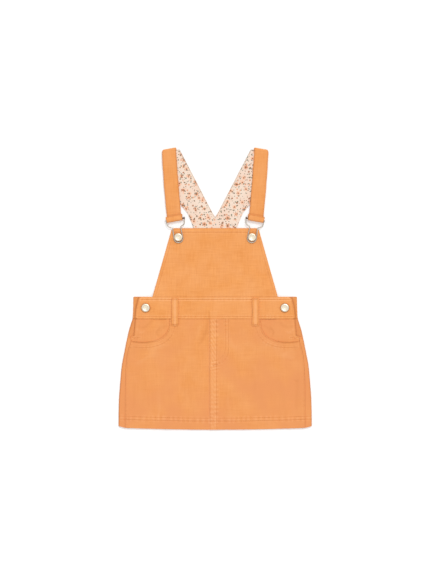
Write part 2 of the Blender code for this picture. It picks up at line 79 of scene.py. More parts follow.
STRAP_WIDTH, STRAP_TILT, FOLD_TILT, BAR_TILT = 25.0, np.radians(4.5), np.radians(10.2), np.radians(10.0)
FOLD_CENTRE, FOLD_RADIUS, FOLD_MID, BACK_STRAP = (80.9, 242.6), 1.7, 2.6, 30.0
BAR_MID, BAR_TURN, TAIL = 5.2, 2.4, 7.0
BIB_BUTTON, SIDE_BUTTON, BUTTON_TO_BAR = (64.4, 90.2), (121.6, -33.1), 31.4
BIB_CAP, SIDE_CAP = 7.2, 7.5
WIRE_RADIUS, KEYHOLE_RADIUS, KEYHOLE_MID, KEYHOLE_DROP = 1.1, 7.7, 4.5, 1.6
V_POINT, V_SLOPE, V_ROUND = 125.8, 0.517, 3.0
ARM_OUTER_X, ARM_OUTER_Y, ARM_OUTER_SLOPE = 37.1, 106.6, 0.4156
ARM_INNER_END, ARM_OUTER_END, ARM_SPREAD, ARM_TAPER = 16.2, 13.0, 0.25, 0.16
SIDES = ((-1, "left"), (1, "right"))
# How far the skirt's cloth is mixed towards the warm colour, and how far above the bar the strap's turned end
# shows
DEEPER, END_REACH = 0.5, 7.7
# The wire is shown a little thinner than its stiff body
WIRE_SHOWN = 0.95
# How far in from a rim painted shade darkens the cloth, and the rounding of edges that are sewn against
# others
EDGE_REACH, SEWN_RIM = 1.1, 0.3
# Beside a row of stitching: how far off the cloth's ridge runs, how wide it is, and how wide the groove is
RIDGE_OFF, RIDGE_REACH, GROOVE_REACH = 1.75, 0.8, 0.75
# An arm of the back bib swells by this much, between these levels, before it goes under the strap
ARM_SWELL, SWELL_FOOT, SWELL_HEAD = 6.0, (130.0, 150.0), (190.0, 162.0)
# Level of the arm's outer edge beside the V's point, and rows of the grid below the V and round its point
ARM_FOOT, BODY_ROWS, POINT_ROWS = 117.0, 44, 9
# The lap's roping: its pitch, and how many mm up a mm across counts for
ROPE_PITCH, ROPE_UP, ROPE_ACROSS = 8.2, 0.95, 1.5
# Where the foot of the mock fly meets the lap, and how far its puckers reach and how close they lie
KNOT, KNOT_REACH, KNOT_PITCH = (0.5, -134.0), 8.5, 5.3
# How far up the waistband the thick top of the lap shows, from where it starts to fade to where it is gone
LAP_FADES, LAP_GONE = 12.0, 17.0
# Rows of stitching on the strap, off its middle, and on a belt loop, off its middle
STRAP_STITCH, LOOP_STITCH = 10.6, 3.4

Level = namedtuple("Level", "y outline seam")
SIDE_LEVELS = (
    Level(-13.5, 142.9, 147.4), Level(-50.5, 144.3, 147.4), Level(-61.5, 147.4, 147.4),
    Level(-72.0, 150.6, 147.4), Level(-92.5, 155.2, 147.5), Level(-104.0, 157.4, 151.2),
    Level(-117.5, 160.1, 154.2), Level(-135.0, 163.2, 155.8), Level(-163.0, 165.8, 157.0),
    Level(-198.0, 168.2, 157.4), Level(-247.0, 169.0, 157.4),
)
Flare = namedtuple("Flare", "y outer_y outer_x")
BACK_FLARE = (
    Flare(-13.5, -13.5, 102.0), Flare(5.0, 4.0, 86.0), Flare(26.0, 23.0, 67.0), Flare(48.0, 44.0, 51.0),
    Flare(70.0, 64.0, 41.0), Flare(90.0, 84.0, 36.5), Flare(108.0, 102.0, 36.4),
)
Lie = namedtuple("Lie", "y height")
STRAP_LIE = (
    Lie(118.0, 2.8), Lie(134.0, 2.8), Lie(150.0, 3.6), Lie(198.0, 3.6), Lie(212.0, 4.3), Lie(260.0, 4.3),
)

# The long soft ridges in which the skirt front lies: where each starts, and its place at the hem
Ridge = namedtuple("Ridge", "start_y start_x hem_x height width")
RIDGES = (
    Ridge(-112.0, -112.0, -128.0, 0.70, 9.0), Ridge(-135.0, -66.0, -82.0, 0.55, 12.0),
    Ridge(-92.0, -26.0, -38.0, 0.50, 11.0), Ridge(-105.0, 33.0, 46.0, 0.60, 12.0),
    Ridge(-142.0, 78.0, 97.0, 0.55, 11.0), Ridge(-118.0, 112.0, 131.0, 0.75, 9.0),
)

# Short creases, from one end to the other; a negative height is a trough
Crease = namedtuple("Crease", "x0 y0 x1 y1 height width")
FRONT_CREASES = (
    Crease(-13.0, -57.0, -27.0, -102.0, -0.60, 3.6), Crease(-22.0, -60.0, -33.0, -88.0, 0.30, 5.0),
    Crease(22.0, -74.0, 36.0, -112.0, 0.28, 5.5), Crease(-52.0, -150.0, -58.0, -205.0, -0.28, 5.0),
    Crease(62.0, -128.0, 70.0, -190.0, -0.26, 6.0), Crease(-98.0, -112.0, -140.0, -130.0, 0.35, 6.0),
    Crease(104.0, -108.0, 143.0, -126.0, 0.32, 6.5), Crease(-140.0, -160.0, -146.0, -215.0, -0.30, 4.0),
    Crease(139.0, -150.0, 146.0, -222.0, -0.32, 4.5), Crease(12.0, -150.0, 15.0, -228.0, -0.25, 3.5),
    Crease(-96.0, -176.0, -103.0, -232.0, 0.25, 5.0), Crease(22.0, -180.0, 27.0, -236.0, 0.22, 5.0),
    Crease(-78.0, -100.0, -118.0, -104.0, 0.30, 5.0), Crease(82.0, -98.0, 120.0, -103.0, 0.28, 5.0),
    Crease(122.0, -124.5, 146.0, -122.0, -0.30, 1.8), Crease(133.0, -162.0, 147.0, -158.0, -0.28, 2.0),
    Crease(-120.0, -118.0, -145.0, -121.0, -0.30, 1.8), Crease(-130.0, -150.0, -148.0, -154.0, -0.24, 2.0),
    Crease(117.0, -198.0, 136.0, -197.0, -0.20, 2.2), Crease(118.0, -112.0, 142.0, -110.0, 0.24, 4.0),
)
BIB_CREASES = (
    Crease(-58.0, 78.0, -44.0, 20.0, 0.30, 8.0), Crease(60.0, 74.0, 50.0, 26.0, 0.28, 9.0),
    Crease(-20.0, 60.0, -26.0, -2.0, 0.22, 9.0), Crease(14.0, 84.0, 22.0, 30.0, -0.20, 10.0),
    Crease(-86.0, 40.0, -99.0, 2.0, -0.25, 5.0), Crease(84.0, 44.0, 98.0, 0.0, -0.25, 5.0),
    Crease(-40.0, 98.0, 30.0, 96.0, 0.15, 6.0), Crease(-66.0, 6.0, -20.0, -4.0, 0.22, 5.0),
    Crease(30.0, -3.0, 78.0, 5.0, 0.24, 5.5),
)
FACING_CREASES = (
    Crease(99.2, -66.0, 99.6, -84.0, -0.22, 2.2), Crease(108.0, -60.0, 132.0, -67.0, -0.16, 4.0),
    Crease(122.0, -74.0, 139.0, -73.0, 0.14, 3.0), Crease(86.0, -60.0, 96.0, -78.0, -0.14, 3.5),
)


# ---------------------------------------------------------------- arithmetic shared by the pieces


def mix(a, b, share):
    """Value at a share of the way from a to b."""
    return a + (b - a) * share


def ease(start, end, value):
    """Smooth step: 0 at start, 1 at end, whichever of them is larger."""
    share = np.clip((value - start) / (end - start), 0.0, 1.0)
    return share * share * (3.0 - 2.0 * share)


def hump(off, reach):
    """A soft hump: 1 where off is 0, and next to nothing from twice its reach."""
    return np.exp(-(off / reach) ** 2)


def follow(rows, key, column, value):
    """Read a column of a table at values of its key column, along a smooth curve."""
    ordered = sorted(rows, key=lambda row: getattr(row, key))
    keys = np.array([getattr(row, key) for row in ordered])
    data = np.array([getattr(row, column) for row in ordered])
    steps = np.diff(keys)
    slopes = np.diff(data) / steps
    tangents = np.empty_like(data)
    tangents[0], tangents[-1] = slopes[0], slopes[-1]
    tangents[1:-1] = (data[2:] - data[:-2]) / (keys[2:] - keys[:-2])
    value = np.clip(value, keys[0], keys[-1])
    index = np.clip(np.searchsorted(keys, value, side="right") - 1, 0, len(steps) - 1)
    share = (value - keys[index]) / steps[index]
    cube, square = share ** 3, share ** 2
    return ((2 * cube - 3 * square + 1) * data[index]
            + (cube - 2 * square + share) * tangents[index] * steps[index]
            + (3 * square - 2 * cube) * data[index + 1]
            + (cube - square) * tangents[index + 1] * steps[index])


def outline(y):
    """Half width of the laid garment at a level."""
    return follow(SIDE_LEVELS, "y", "outline", y)


def seam(y):
    """Half width at which the side seam lies."""
    return follow(SIDE_LEVELS, "y", "seam", y)


def hem(x):
    """Level of the hem, which rises a little to the sides."""
    return HEM_CENTRE + HEM_RISE * (x / SIDE_LEVELS[-1].seam) ** 2


def smooth_line(points, step=1.0):
    """A smooth curve through the points, as a line of closely spaced ones."""
    given = np.asarray(points, float)
    run = np.concatenate([[0.0], np.cumsum(np.linalg.norm(np.diff(given, axis=0), axis=1))])
    Point = namedtuple("Point", "run a b")
    rows = [Point(r, p[0], p[1]) for r, p in zip(run, given)]
    at = np.linspace(0.0, run[-1], max(2, int(run[-1] / step) + 1))
    return np.stack([follow(rows, "run", "a", at), follow(rows, "run", "b", at)], axis=1)


def line_along(line, share):
    """Points at shares of a line's length."""
    run = np.concatenate([[0.0], np.cumsum(np.linalg.norm(np.diff(line, axis=0), axis=1))])
    at = np.asarray(share) * run[-1]
    return np.interp(at, run, line[:, 0]), np.interp(at, run, line[:, 1])


def nearest(line, x, y):
    """How far along a line the points lie, and how far from it."""
    flat_x, flat_y = np.ravel(x), np.ravel(y)
    best = np.full(flat_x.shape, 1e9)
    where = np.zeros(flat_x.shape)
    run = 0.0
    for (ax, ay), (bx, by) in zip(line, line[1:]):
        dx, dy = bx - ax, by - ay
        length = np.hypot(dx, dy)
        share = np.clip(((flat_x - ax) * dx + (flat_y - ay) * dy) / length ** 2, 0.0, 1.0)
        away = np.hypot(flat_x - ax - share * dx, flat_y - ay - share * dy)
        closer = away < best
        best[closer] = away[closer]
        where[closer] = run + share[closer] * length
        run += length
    return where.reshape(np.shape(x)), best.reshape(np.shape(x))


def shifted(line, distance):
    """A line moved sideways, to the left of its run."""
    along = np.gradient(line, axis=0)
    along /= np.linalg.norm(along, axis=1)[:, None]
    return line + distance * np.stack([-along[:, 1], along[:, 0]], axis=1)


def unrest(x, y, size, seed):
    """Slow uneven waves of height about 1, for cloth that never lies dead flat."""
    phase = seed * 1.7
    return (np.sin(x / size + phase + 1.3 * np.sin(y / size * 0.7 + phase))
            + np.sin(y / size * 0.83 + 2.1 * phase + 1.1 * np.sin(x / size * 0.6 + 0.4 * phase))
            + 0.6 * np.sin((x + y) / size * 1.7 + 3.1 * phase)) / 2.6


def creases(x, y, rows):
    """Sum of the short creases at points of the cloth."""
    lift = np.zeros(np.shape(x))
    for row in rows:
        dx, dy = row.x1 - row.x0, row.y1 - row.y0
        share = ((x - row.x0) * dx + (y - row.y0) * dy) / (dx * dx + dy * dy)
        off = ((x - row.x0) * dy - (y - row.y0) * dx) / np.hypot(dx, dy)
        off = off + 2.5 * np.sin(share * 5.0 + row.x0)
        fade = ease(-0.25, 0.3, share) * ease(1.25, 0.7, share)
        lift += row.height * fade * hump(off, row.width)
    return lift


# ---------------------------------------------------------------- rows of stitching

# Points of the line; how deep it draws the cloth in; height, pitch and reach of the puckers beside it, and
# a number that makes them unlike those of other rows
Row = namedtuple("Row", "points groove pucker pitch reach seed")


def row_through(x, y, *form):
    """A row of stitching through points; x or y may be one number for all of them."""
    return Row(np.stack(np.broadcast_arrays(x, y), 1), *form)


def sewn(x, y, rows, sunk=1.0, ridge=0.3):
    """How rows of stitching dent and pucker the cloth, and raise a ridge on either side of them."""
    lift = np.zeros(np.shape(x))
    for row in rows:
        where, away = nearest(row.points, x, y)
        wave = np.sin(2 * np.pi * where / row.pitch + 1.3 * np.sin(where * 0.13 + row.seed)
                      + 0.8 * np.sin(where * 0.31 + 2 * row.seed))
        swell = 0.6 + 0.4 * np.sin(where * 0.045 + 3 * row.seed)
        lift += row.pucker * wave * swell * hump(away, row.reach)
        lift += row.groove * (ridge * hump(away - RIDGE_OFF, RIDGE_REACH) - sunk * hump(away, GROOVE_REACH))
    return lift


def row_shade_and_highlight(x, y, rows, pale=0.35):
    """Painted light along rows of stitching: painted shade in them and painted highlight on the ridges beside
    them.
    """
    return sewn(x, y, rows, 0.75, pale)


# ---------------------------------------------------------------- where each cloth lies


def panel_base(half, y):
    """Middle height of the skirt front before its ridges and laps."""
    low = PANEL_LOW + PANEL_TOP_RISE * ease(-92.0, WAIST_FOOT, y)
    plain = mix(low, SEAM_MID, np.minimum(1.0, half / seam(y)) ** 3)
    mouth = mix(MOUTH_HEIGHT_INNER, MOUTH_HEIGHT_OUTER, ease(92.0, 118.0, half))
    return mix(plain, mouth, ease(38.0, 62.0, half) * ease(-118.0, -84.0, y))


def ridges(x, y):
    """How far the long ridges lift the cloth."""
    lift = np.zeros(np.shape(x))
    for ridge in RIDGES:
        share = np.clip((ridge.start_y - y) / (ridge.start_y - HEM_CENTRE), 0.0, None)
        off = (x - mix(ridge.start_x, ridge.hem_x, share)) / ridge.width
        lift += ridge.height * ease(0.0, 0.5, share) / (1.0 + off * off) ** 2
    return lift


def band_mid(half):
    """Middle height of the front waistband, which climbs over the button stands."""
    return mix(BAND_MID, BAND_SIDE_MID, ease(74.0, STAND_BAND - 2.0, half))


def band_edge(y):
    """Half width of the front waistband, which widens quickly below its upper corner."""
    up = (y - WAIST_FOOT) / (WAIST_TOP - WAIST_FOOT)
    return mix(BAND_EDGE_FOOT, BAND_EDGE_TOP, up * up)


def rounded_off(across, along, radius):
    """Distances in from two edges that meet at a corner, drawn in so that the corner is round."""
    a, b = np.clip(1.0 - across / radius, 0.0, 1.0), np.clip(1.0 - along / radius, 0.0, 1.0)
    return (across + radius * a * (1.0 - np.sqrt(1.0 - b * b / 2)),
            along + radius * b * (1.0 - np.sqrt(1.0 - a * a / 2)))


def bib_half(y):
    """Half width of the bib at a level."""
    return mix(BIB_HALF_FOOT, BIB_HALF_TOP, (y - WAIST_TOP) / (BIB_TOP - WAIST_TOP))


def bib_mid(half, y):
    """Middle height of the bib: it lies on the back bib and droops beyond it."""
    yoke = follow(BACK_FLARE, "outer_y", "outer_x", np.minimum(y, ARM_OUTER_Y))
    free = BIB_OVER_YOKE - BIB_DROOP * ease(3.0, 26.0, half - yoke)
    return mix(free, np.maximum(band_mid(half), BIB_OVER_YOKE), ease(26.0, WAIST_TOP, y))


def wrapped(share, y, wall, inner, fold_mid, inner_mid):
    """Half of a back panel's section: flat below, a fold at the outline, then turned forward."""
    flat_share, fold_share = 0.62, 0.16
    radius = (fold_mid - wall / 2) / 2
    turn_x = outline(y) - wall / 2 - radius
    angle = np.pi * np.clip((share - flat_share) / fold_share, 0.0, 1.0)
    over = np.clip((share - flat_share - fold_share) / (1.0 - flat_share - fold_share), 0.0, 1.0)
    x = np.where(share <= flat_share, turn_x * share / flat_share, turn_x + radius * np.sin(angle))
    z = wall / 2 + radius * (1.0 - np.cos(angle))
    x = np.where(over > 0.0, mix(turn_x, inner, over), x)
    z = np.where(over > 0.0, mix(fold_mid, inner_mid, ease(0.0, 0.33, over)), z)
    return x, z


def v_edge(y):
    """Inner edge of a shoulder arm: half width of the V, rounded at its point, at a level."""
    depth = y - V_POINT + V_ROUND
    return V_SLOPE * np.sqrt(np.maximum(0.0, depth * depth - V_ROUND * V_ROUND))


def arm_outer(y):
    """Outer edge of a shoulder arm, which swells a little before it goes under the strap."""
    swell = ARM_SWELL * ease(*SWELL_FOOT, y) * ease(*SWELL_HEAD, y)
    return ARM_OUTER_X + ARM_OUTER_SLOPE * (y - ARM_OUTER_Y) + swell


def bar_centre():
    """Middle of the buckle's bar, up the buckle's axis from the bib button."""
    return BIB_BUTTON[0] + BUTTON_TO_BAR * np.sin(BAR_TILT), BIB_BUTTON[1] + BUTTON_TO_BAR * np.cos(BAR_TILT)


# ---------------------------------------------------------------- meshes


def lines_for(length, step, fine=()):
    """Shares of a length at which a grid's lines lie: close along a rounded rim, even between.

    fine lists stretches that get closer lines, as (from, to, step).
    """
    lip = [0.0, 0.08, 0.22, 0.42, 0.7, 1.1, 1.7]
    at = [lip[-1]]
    while at[-1] < length - lip[-1]:
        at.append(at[-1] + min([step] + [close for start, end, close in fine if start <= at[-1] <= end]))
    inner = np.array([place for place in at if place < length - lip[-1] - step / 3])
    return np.concatenate([lip[:-1], inner, length - np.array(lip[::-1])]) / length


def write_mesh(name, points, faces, material, slot, nodes=(), tone=None):
    """Make a smooth piece of the finished mesh, on its body, in the place of its CAD nodes."""
    mesh = bpy.data.meshes.new(name)
    mesh.from_pydata((np.asarray(points) * MM).tolist(), [], [tuple(face) for face in faces])
    mesh.materials.append(material)
    mesh.shade_smooth()
    if tone is not None:
        layer = mesh.attributes.new("tone", "FLOAT", "POINT")
        layer.data.foreach_set("value", np.asarray(tone, float))
    piece = bpy.data.objects.new(name, mesh)
    bpy.context.scene.collection.objects.link(piece)
    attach(piece, BODY)
    if nodes:
        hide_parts(*nodes)
    return piece


def over(cloth, x, y):
    """Values at points of a cloth, of a function of x and y or of one number for all of it."""
    return cloth(x, y) if callable(cloth) else np.full(x.shape, cloth)


def lay_cloth(name, u, v, place, wall, material, slot, nodes, lift=0.0, relief=0.0, tone=0.0, rim=None,
              edge_shade=0.0, way=1, centre_open=False):
    """A cloth wall over a grid, with rounded rims.

    place(u, v) gives its middle surface. The next five are numbers, or functions of x and y: lift moves
    the whole wall along its normal, and relief its upper side alone; tone is painted light on the upper
    side, painted highlight where it is high and painted shade where it is low, and edge_shade how much
    painted shade darkens its rim; rim is how far in the wall's rounding goes, half the wall if it isn't
    given. way is -1 where the grid runs so that its normal points into the garment, and centre_open
    leaves the column at x = 0 to be joined to a mirror.
    """
    across, along = np.meshgrid(u, v)
    x, y, z = place(across, along)
    middle = np.stack([x, y, z], axis=2)
    normal = np.cross(np.gradient(middle, axis=1), np.gradient(middle, axis=0))
    normal *= way / np.maximum(1e-9, np.linalg.norm(normal, axis=2))[:, :, None]
    middle = middle + normal * over(lift, x, y)[:, :, None]
    rows, columns = x.shape
    ring = [(0, c) for c in range(columns)] + [(r, columns - 1) for r in range(1, rows)]
    ring += [(rows - 1, c) for c in range(columns - 2, -1, -1)] + [(r, 0) for r in range(rows - 2, -1, -1)]
    best = np.full(x.shape, 1e9)
    for (ra, ca), (rb, cb) in zip(ring, ring[1:]):
        a, b = middle[ra, ca], middle[rb, cb]
        length = float(np.dot(b - a, b - a))
        if length < 1e-12 or (centre_open and abs(a[0]) < 1e-6 and abs(b[0]) < 1e-6):
            continue
        share = np.clip(((middle - a) @ (b - a)) / length, 0.0, 1.0)
        best = np.minimum(best, np.linalg.norm(middle - a - share[:, :, None] * (b - a), axis=2))
    rounding = over(wall * 0.5 if rim is None else rim, x, y)
    swell = np.sqrt(np.clip(1.0 - (1.0 - np.clip(best / rounding, 0.0, 1.0)) ** 2, 0.0, 1.0))
    raised = over(relief, x, y) * swell
    upper = middle + normal * (wall * 0.5 * swell + raised)[:, :, None]
    lower = middle - normal * (wall * 0.5 * swell)[:, :, None]
    # The two sides share the points of the rim
    free = best >= 1e-6
    top = np.arange(rows * columns).reshape(rows, columns)
    low = top.copy()
    low[free] = rows * columns + np.arange(free.sum())
    points = np.concatenate([upper.reshape(-1, 3), lower[free]])
    faces = np.concatenate([
        np.stack([top[:-1, :-1], top[:-1, 1:], top[1:, 1:], top[1:, :-1]], 2).reshape(-1, 4),
        np.stack([low[:-1, :-1], low[1:, :-1], low[1:, 1:], low[:-1, 1:]], 2).reshape(-1, 4),
    ])
    if way < 0:
        faces = faces[:, ::-1]
    # Painted shade along the rims: the tone is lowered by edge_shade close to each rim
    tones = over(tone, x, y) - over(edge_shade, x, y) * hump(best, EDGE_REACH)
    tones = np.concatenate([tones.ravel(), tones[free]])
    return write_mesh(name, points, faces, material, slot, nodes, tones)


def join_mirror(piece):
    """Add the left half of a piece whose right half is open along x = 0."""
    mirror = piece.modifiers.new("Left half", "MIRROR")
    mirror.merge_threshold = 0.00001


def thread_tubes(name, runs, material, slot, radius, length, gap):
    """Stitches along runs of surface points: each a short thread that arches and dives at its ends."""
    sides, rings = 6, 6
    points, faces = [], []
    for run in runs:
        run = np.asarray(run, float)
        reach = np.concatenate([[0.0], np.cumsum(np.linalg.norm(np.diff(run, axis=0), axis=1))])
        count = max(1, int(reach[-1] / (length + gap)))
        pitch = reach[-1] / count
        for stitch in range(count):
            start = stitch * pitch + gap / 2
            at = np.linspace(start, start + pitch - gap, rings)
            spine = np.stack([np.interp(at, reach, run[:, axis]) for axis in range(3)], axis=1)
            arch = np.sin(np.linspace(0.0, np.pi, rings))
            spine[:, 2] += radius * (arch * 1.25 - 0.55)
            heading = spine[-1] - spine[0]
            side = np.array([-heading[1], heading[0], 0.0]) / max(1e-6, np.hypot(heading[0], heading[1]))
            first = len(points)
            for ring in range(rings):
                girth = radius * (0.35 + 0.65 * np.sqrt(arch[ring]))
                for corner in range(sides):
                    angle = 2 * np.pi * corner / sides
                    offset = side * np.cos(angle) * girth + np.array([0.0, 0.0, np.sin(angle) * girth])
                    points.append(spine[ring] + offset)
            for ring in range(rings - 1):
                for corner in range(sides):
                    a = first + ring * sides + corner
                    b = first + ring * sides + (corner + 1) % sides
                    faces.append((a, a + sides, b + sides, b))
            faces.append(tuple(first + corner for corner in range(sides)))
            faces.append(tuple(first + (rings - 1) * sides + corner for corner in reversed(range(sides))))
    return write_mesh(name, points, faces, material, slot)


def on_top(line, top):
    """Surface points under a flat line."""
    return np.stack([line[:, 0], line[:, 1], top(line[:, 0], line[:, 1])], axis=1)


def runs_on(rows, top, side=1):
    """Rows of stitching as runs of surface points, on the left where side is -1."""
    return [on_top(row.points * np.array([side, 1.0]), top) for row in rows]


def bartack(x, y, length, width, tilt, top):
    """Runs of a bartack: close zigzag stitches over a short bar."""
    count = max(4, int(length / 0.75))
    runs = []
    for step in range(count):
        along = mix(-length / 2, length / 2, step / (count - 1))
        ends = np.array([[-width / 2, along - 0.3], [0.0, along], [width / 2, along + 0.3]])
        turned_x = x + ends[:, 0] * np.cos(tilt) - ends[:, 1] * np.sin(tilt)
        turned_y = y + ends[:, 0] * np.sin(tilt) + ends[:, 1] * np.cos(tilt)
        runs.append(on_top(np.stack([turned_x, turned_y], axis=1), top) + np.array([0.0, 0.0, 0.18]))
    return runs


# ---------------------------------------------------------------- materials


def linear(code):
    """An sRGB hex colour as linear values."""
    channels = [int(code[i:i + 2], 16) / 255.0 for i in (1, 3, 5)]
    return [c / 12.92 if c <= 0.04045 else ((c + 0.055) / 1.055) ** 2.4 for c in channels] + [1.0]


def add_node(tree, kind, inputs=None, **settings):
    """Add a shader node of a kind with its settings, and set or link its inputs."""
    made = tree.nodes.new("ShaderNode" + kind)
    for name, value in settings.items():
        setattr(made, name, value)
    for name, value in (inputs or {}).items():
        if isinstance(value, bpy.types.NodeSocket):
            tree.links.new(value, made.inputs[name])
        else:
            made.inputs[name].default_value = value
    return made


def bands(millimetres):
    """The scale at which a wave texture has its bands this far apart."""
    return 0.314 / (millimetres * MM)


def new_material(name):
    """An empty node material and its shader."""
    material = bpy.data.materials.new(name)
    material.use_nodes = True
    return material, material.node_tree, material.node_tree.nodes["Principled BSDF"]


def brushed_twill(name, cloth, shift):
    """Piece-dyed cotton twill, woven and brushed: steep fine ribs, slubby yarns and a soft nap."""
    material, tree, shader = new_material(name)
    where = add_node(tree, "TexCoord").outputs["Object"]
    # Real ribs are 0.5 mm apart; they are drawn about twice as far apart, so that they still show
    ribs = add_node(tree, "Mapping", {"Vector": where, "Rotation": (0.0, 0.0, 1.05)})
    wave = add_node(tree, "TexWave", {"Vector": ribs.outputs["Vector"], "Scale": bands(cloth.rib),
                                     "Distortion": 1.2, "Detail": 2.0, "Detail Scale": 1.5})
    warp = add_node(tree, "Mapping", {"Vector": where, "Scale": (700.0, 45.0, 200.0)})
    warp_noise = add_node(tree, "TexNoise", {"Vector": warp.outputs["Vector"], "Scale": 1.0, "Detail": 3.0})
    weft = add_node(tree, "Mapping", {"Vector": where, "Scale": (38.0, 620.0, 200.0)})
    weft_noise = add_node(tree, "TexNoise", {"Vector": weft.outputs["Vector"], "Scale": 1.0, "Detail": 3.0})
    blotch = add_node(tree, "TexNoise", {"Vector": where, "Scale": 26.0, "Detail": 3.0, "Roughness": 0.6})
    slow = add_node(tree, "TexNoise", {"Vector": where, "Scale": 15.0, "Detail": 2.0})
    yarns = add_node(tree, "Math", {0: warp_noise.outputs["Fac"], 1: weft_noise.outputs["Fac"]},
                     operation="ADD")
    grain = add_node(tree, "Math", {0: wave.outputs["Fac"], 1: 0.35, 2: yarns.outputs[0]},
                     operation="MULTIPLY_ADD")
    spread = add_node(tree, "MapRange", {"Value": grain.outputs[0], "From Min": 0.7, "From Max": 1.65})
    colour = add_node(tree, "Mix", {"Factor": spread.outputs["Result"], "A": linear(cloth.shade),
                                   "B": linear(cloth.colour)}, data_type="RGBA")
    faded = add_node(tree, "MapRange", {"Value": blotch.outputs["Fac"], "From Min": 0.35,
                                       "From Max": 0.75, "To Max": 0.25})
    mottled = add_node(tree, "Mix", {"Factor": faded.outputs["Result"], "A": colour.outputs["Result"],
                                    "B": linear(cloth.pale)}, data_type="RGBA")
    # The skirt's cloth is mixed towards the warm colour in slow random patches, and more so further from the
    # middle of the waist
    patch = add_node(tree, "MapRange", {"Value": slow.outputs["Fac"], "From Min": 0.4, "From Max": 0.7,
                                       "To Min": shift * 0.4, "To Max": shift * 1.9 + 0.1})
    from_waist = add_node(tree, "VectorMath", {0: where, 1: (0.0, WAIST_FOOT * MM, 0.0)},
                          operation="DISTANCE")
    far = add_node(tree, "MapRange", {"Value": from_waist.outputs["Value"], "From Min": 0.11,
                                     "From Max": 0.24, "To Max": shift * 0.8})
    drift = add_node(tree, "Math", {0: patch.outputs["Result"], 1: far.outputs["Result"]},
                     operation="ADD", use_clamp=True)
    dyed = add_node(tree, "Mix", {"Factor": drift.outputs[0], "A": mottled.outputs["Result"],
                                 "B": linear(cloth.warm)}, data_type="RGBA")
    tone = add_node(tree, "Attribute", attribute_name="tone")
    # Painted highlight: where the tone is high, the colour is mixed towards the pale one
    painted_light = add_node(tree, "MapRange", {"Value": tone.outputs["Fac"], "From Min": 0.03, "From Max": 0.45,
                                      "To Max": 0.5})
    high = add_node(tree, "Mix", {"Factor": painted_light.outputs["Result"], "A": dyed.outputs["Result"],
                                 "B": linear(cloth.pale)}, data_type="RGBA")
    # Painted shade: where the tone is low, in grooves, creases and along rims, the colour is mixed towards
    # the crease colour
    sunk = add_node(tree, "MapRange", {"Value": tone.outputs["Fac"], "From Min": -0.05, "From Max": -0.6,
                                      "To Max": 0.75})
    deep = add_node(tree, "Mix", {"Factor": sunk.outputs["Result"], "A": high.outputs["Result"],
                                 "B": linear(cloth.crease)}, data_type="RGBA")
    bump = add_node(tree, "Bump", {"Height": grain.outputs[0], "Strength": 0.55, "Distance": 0.00022})
    tree.links.new(deep.outputs["Result"], shader.inputs["Base Color"])
    tree.links.new(bump.outputs["Normal"], shader.inputs["Normal"])
    shader.inputs["Roughness"].default_value = 0.88
    shader.inputs["IOR"].default_value = 1.46
    shader.inputs["Specular IOR Level"].default_value = 0.25
    shader.inputs["Sheen Weight"].default_value = 0.12
    shader.inputs["Sheen Roughness"].default_value = 0.5
    return material


def sewing_thread(name, thread):
    """Core-spun polyester topstitching thread: twisted, a little brighter than the cloth."""
    material, tree, shader = new_material(name)
    where = add_node(tree, "TexCoord").outputs["Object"]
    # Two plies to the millimetre
    twist = add_node(tree, "Mapping", {"Vector": where, "Rotation": (0.0, 0.0, 0.6)})
    wave = add_node(tree, "TexWave", {"Vector": twist.outputs["Vector"], "Scale": bands(0.5)})
    mixed = add_node(tree, "Mix", {"Factor": wave.outputs["Fac"], "A": linear(thread.shade),
                                  "B": linear(thread.colour)}, data_type="RGBA")
    bump = add_node(tree, "Bump", {"Height": wave.outputs["Fac"], "Strength": 0.4, "Distance": 0.0001})
    tree.links.new(mixed.outputs["Result"], shader.inputs["Base Color"])
    tree.links.new(bump.outputs["Normal"], shader.inputs["Normal"])
    shader.inputs["Roughness"].default_value = 0.5
    shader.inputs["IOR"].default_value = 1.55
    return material


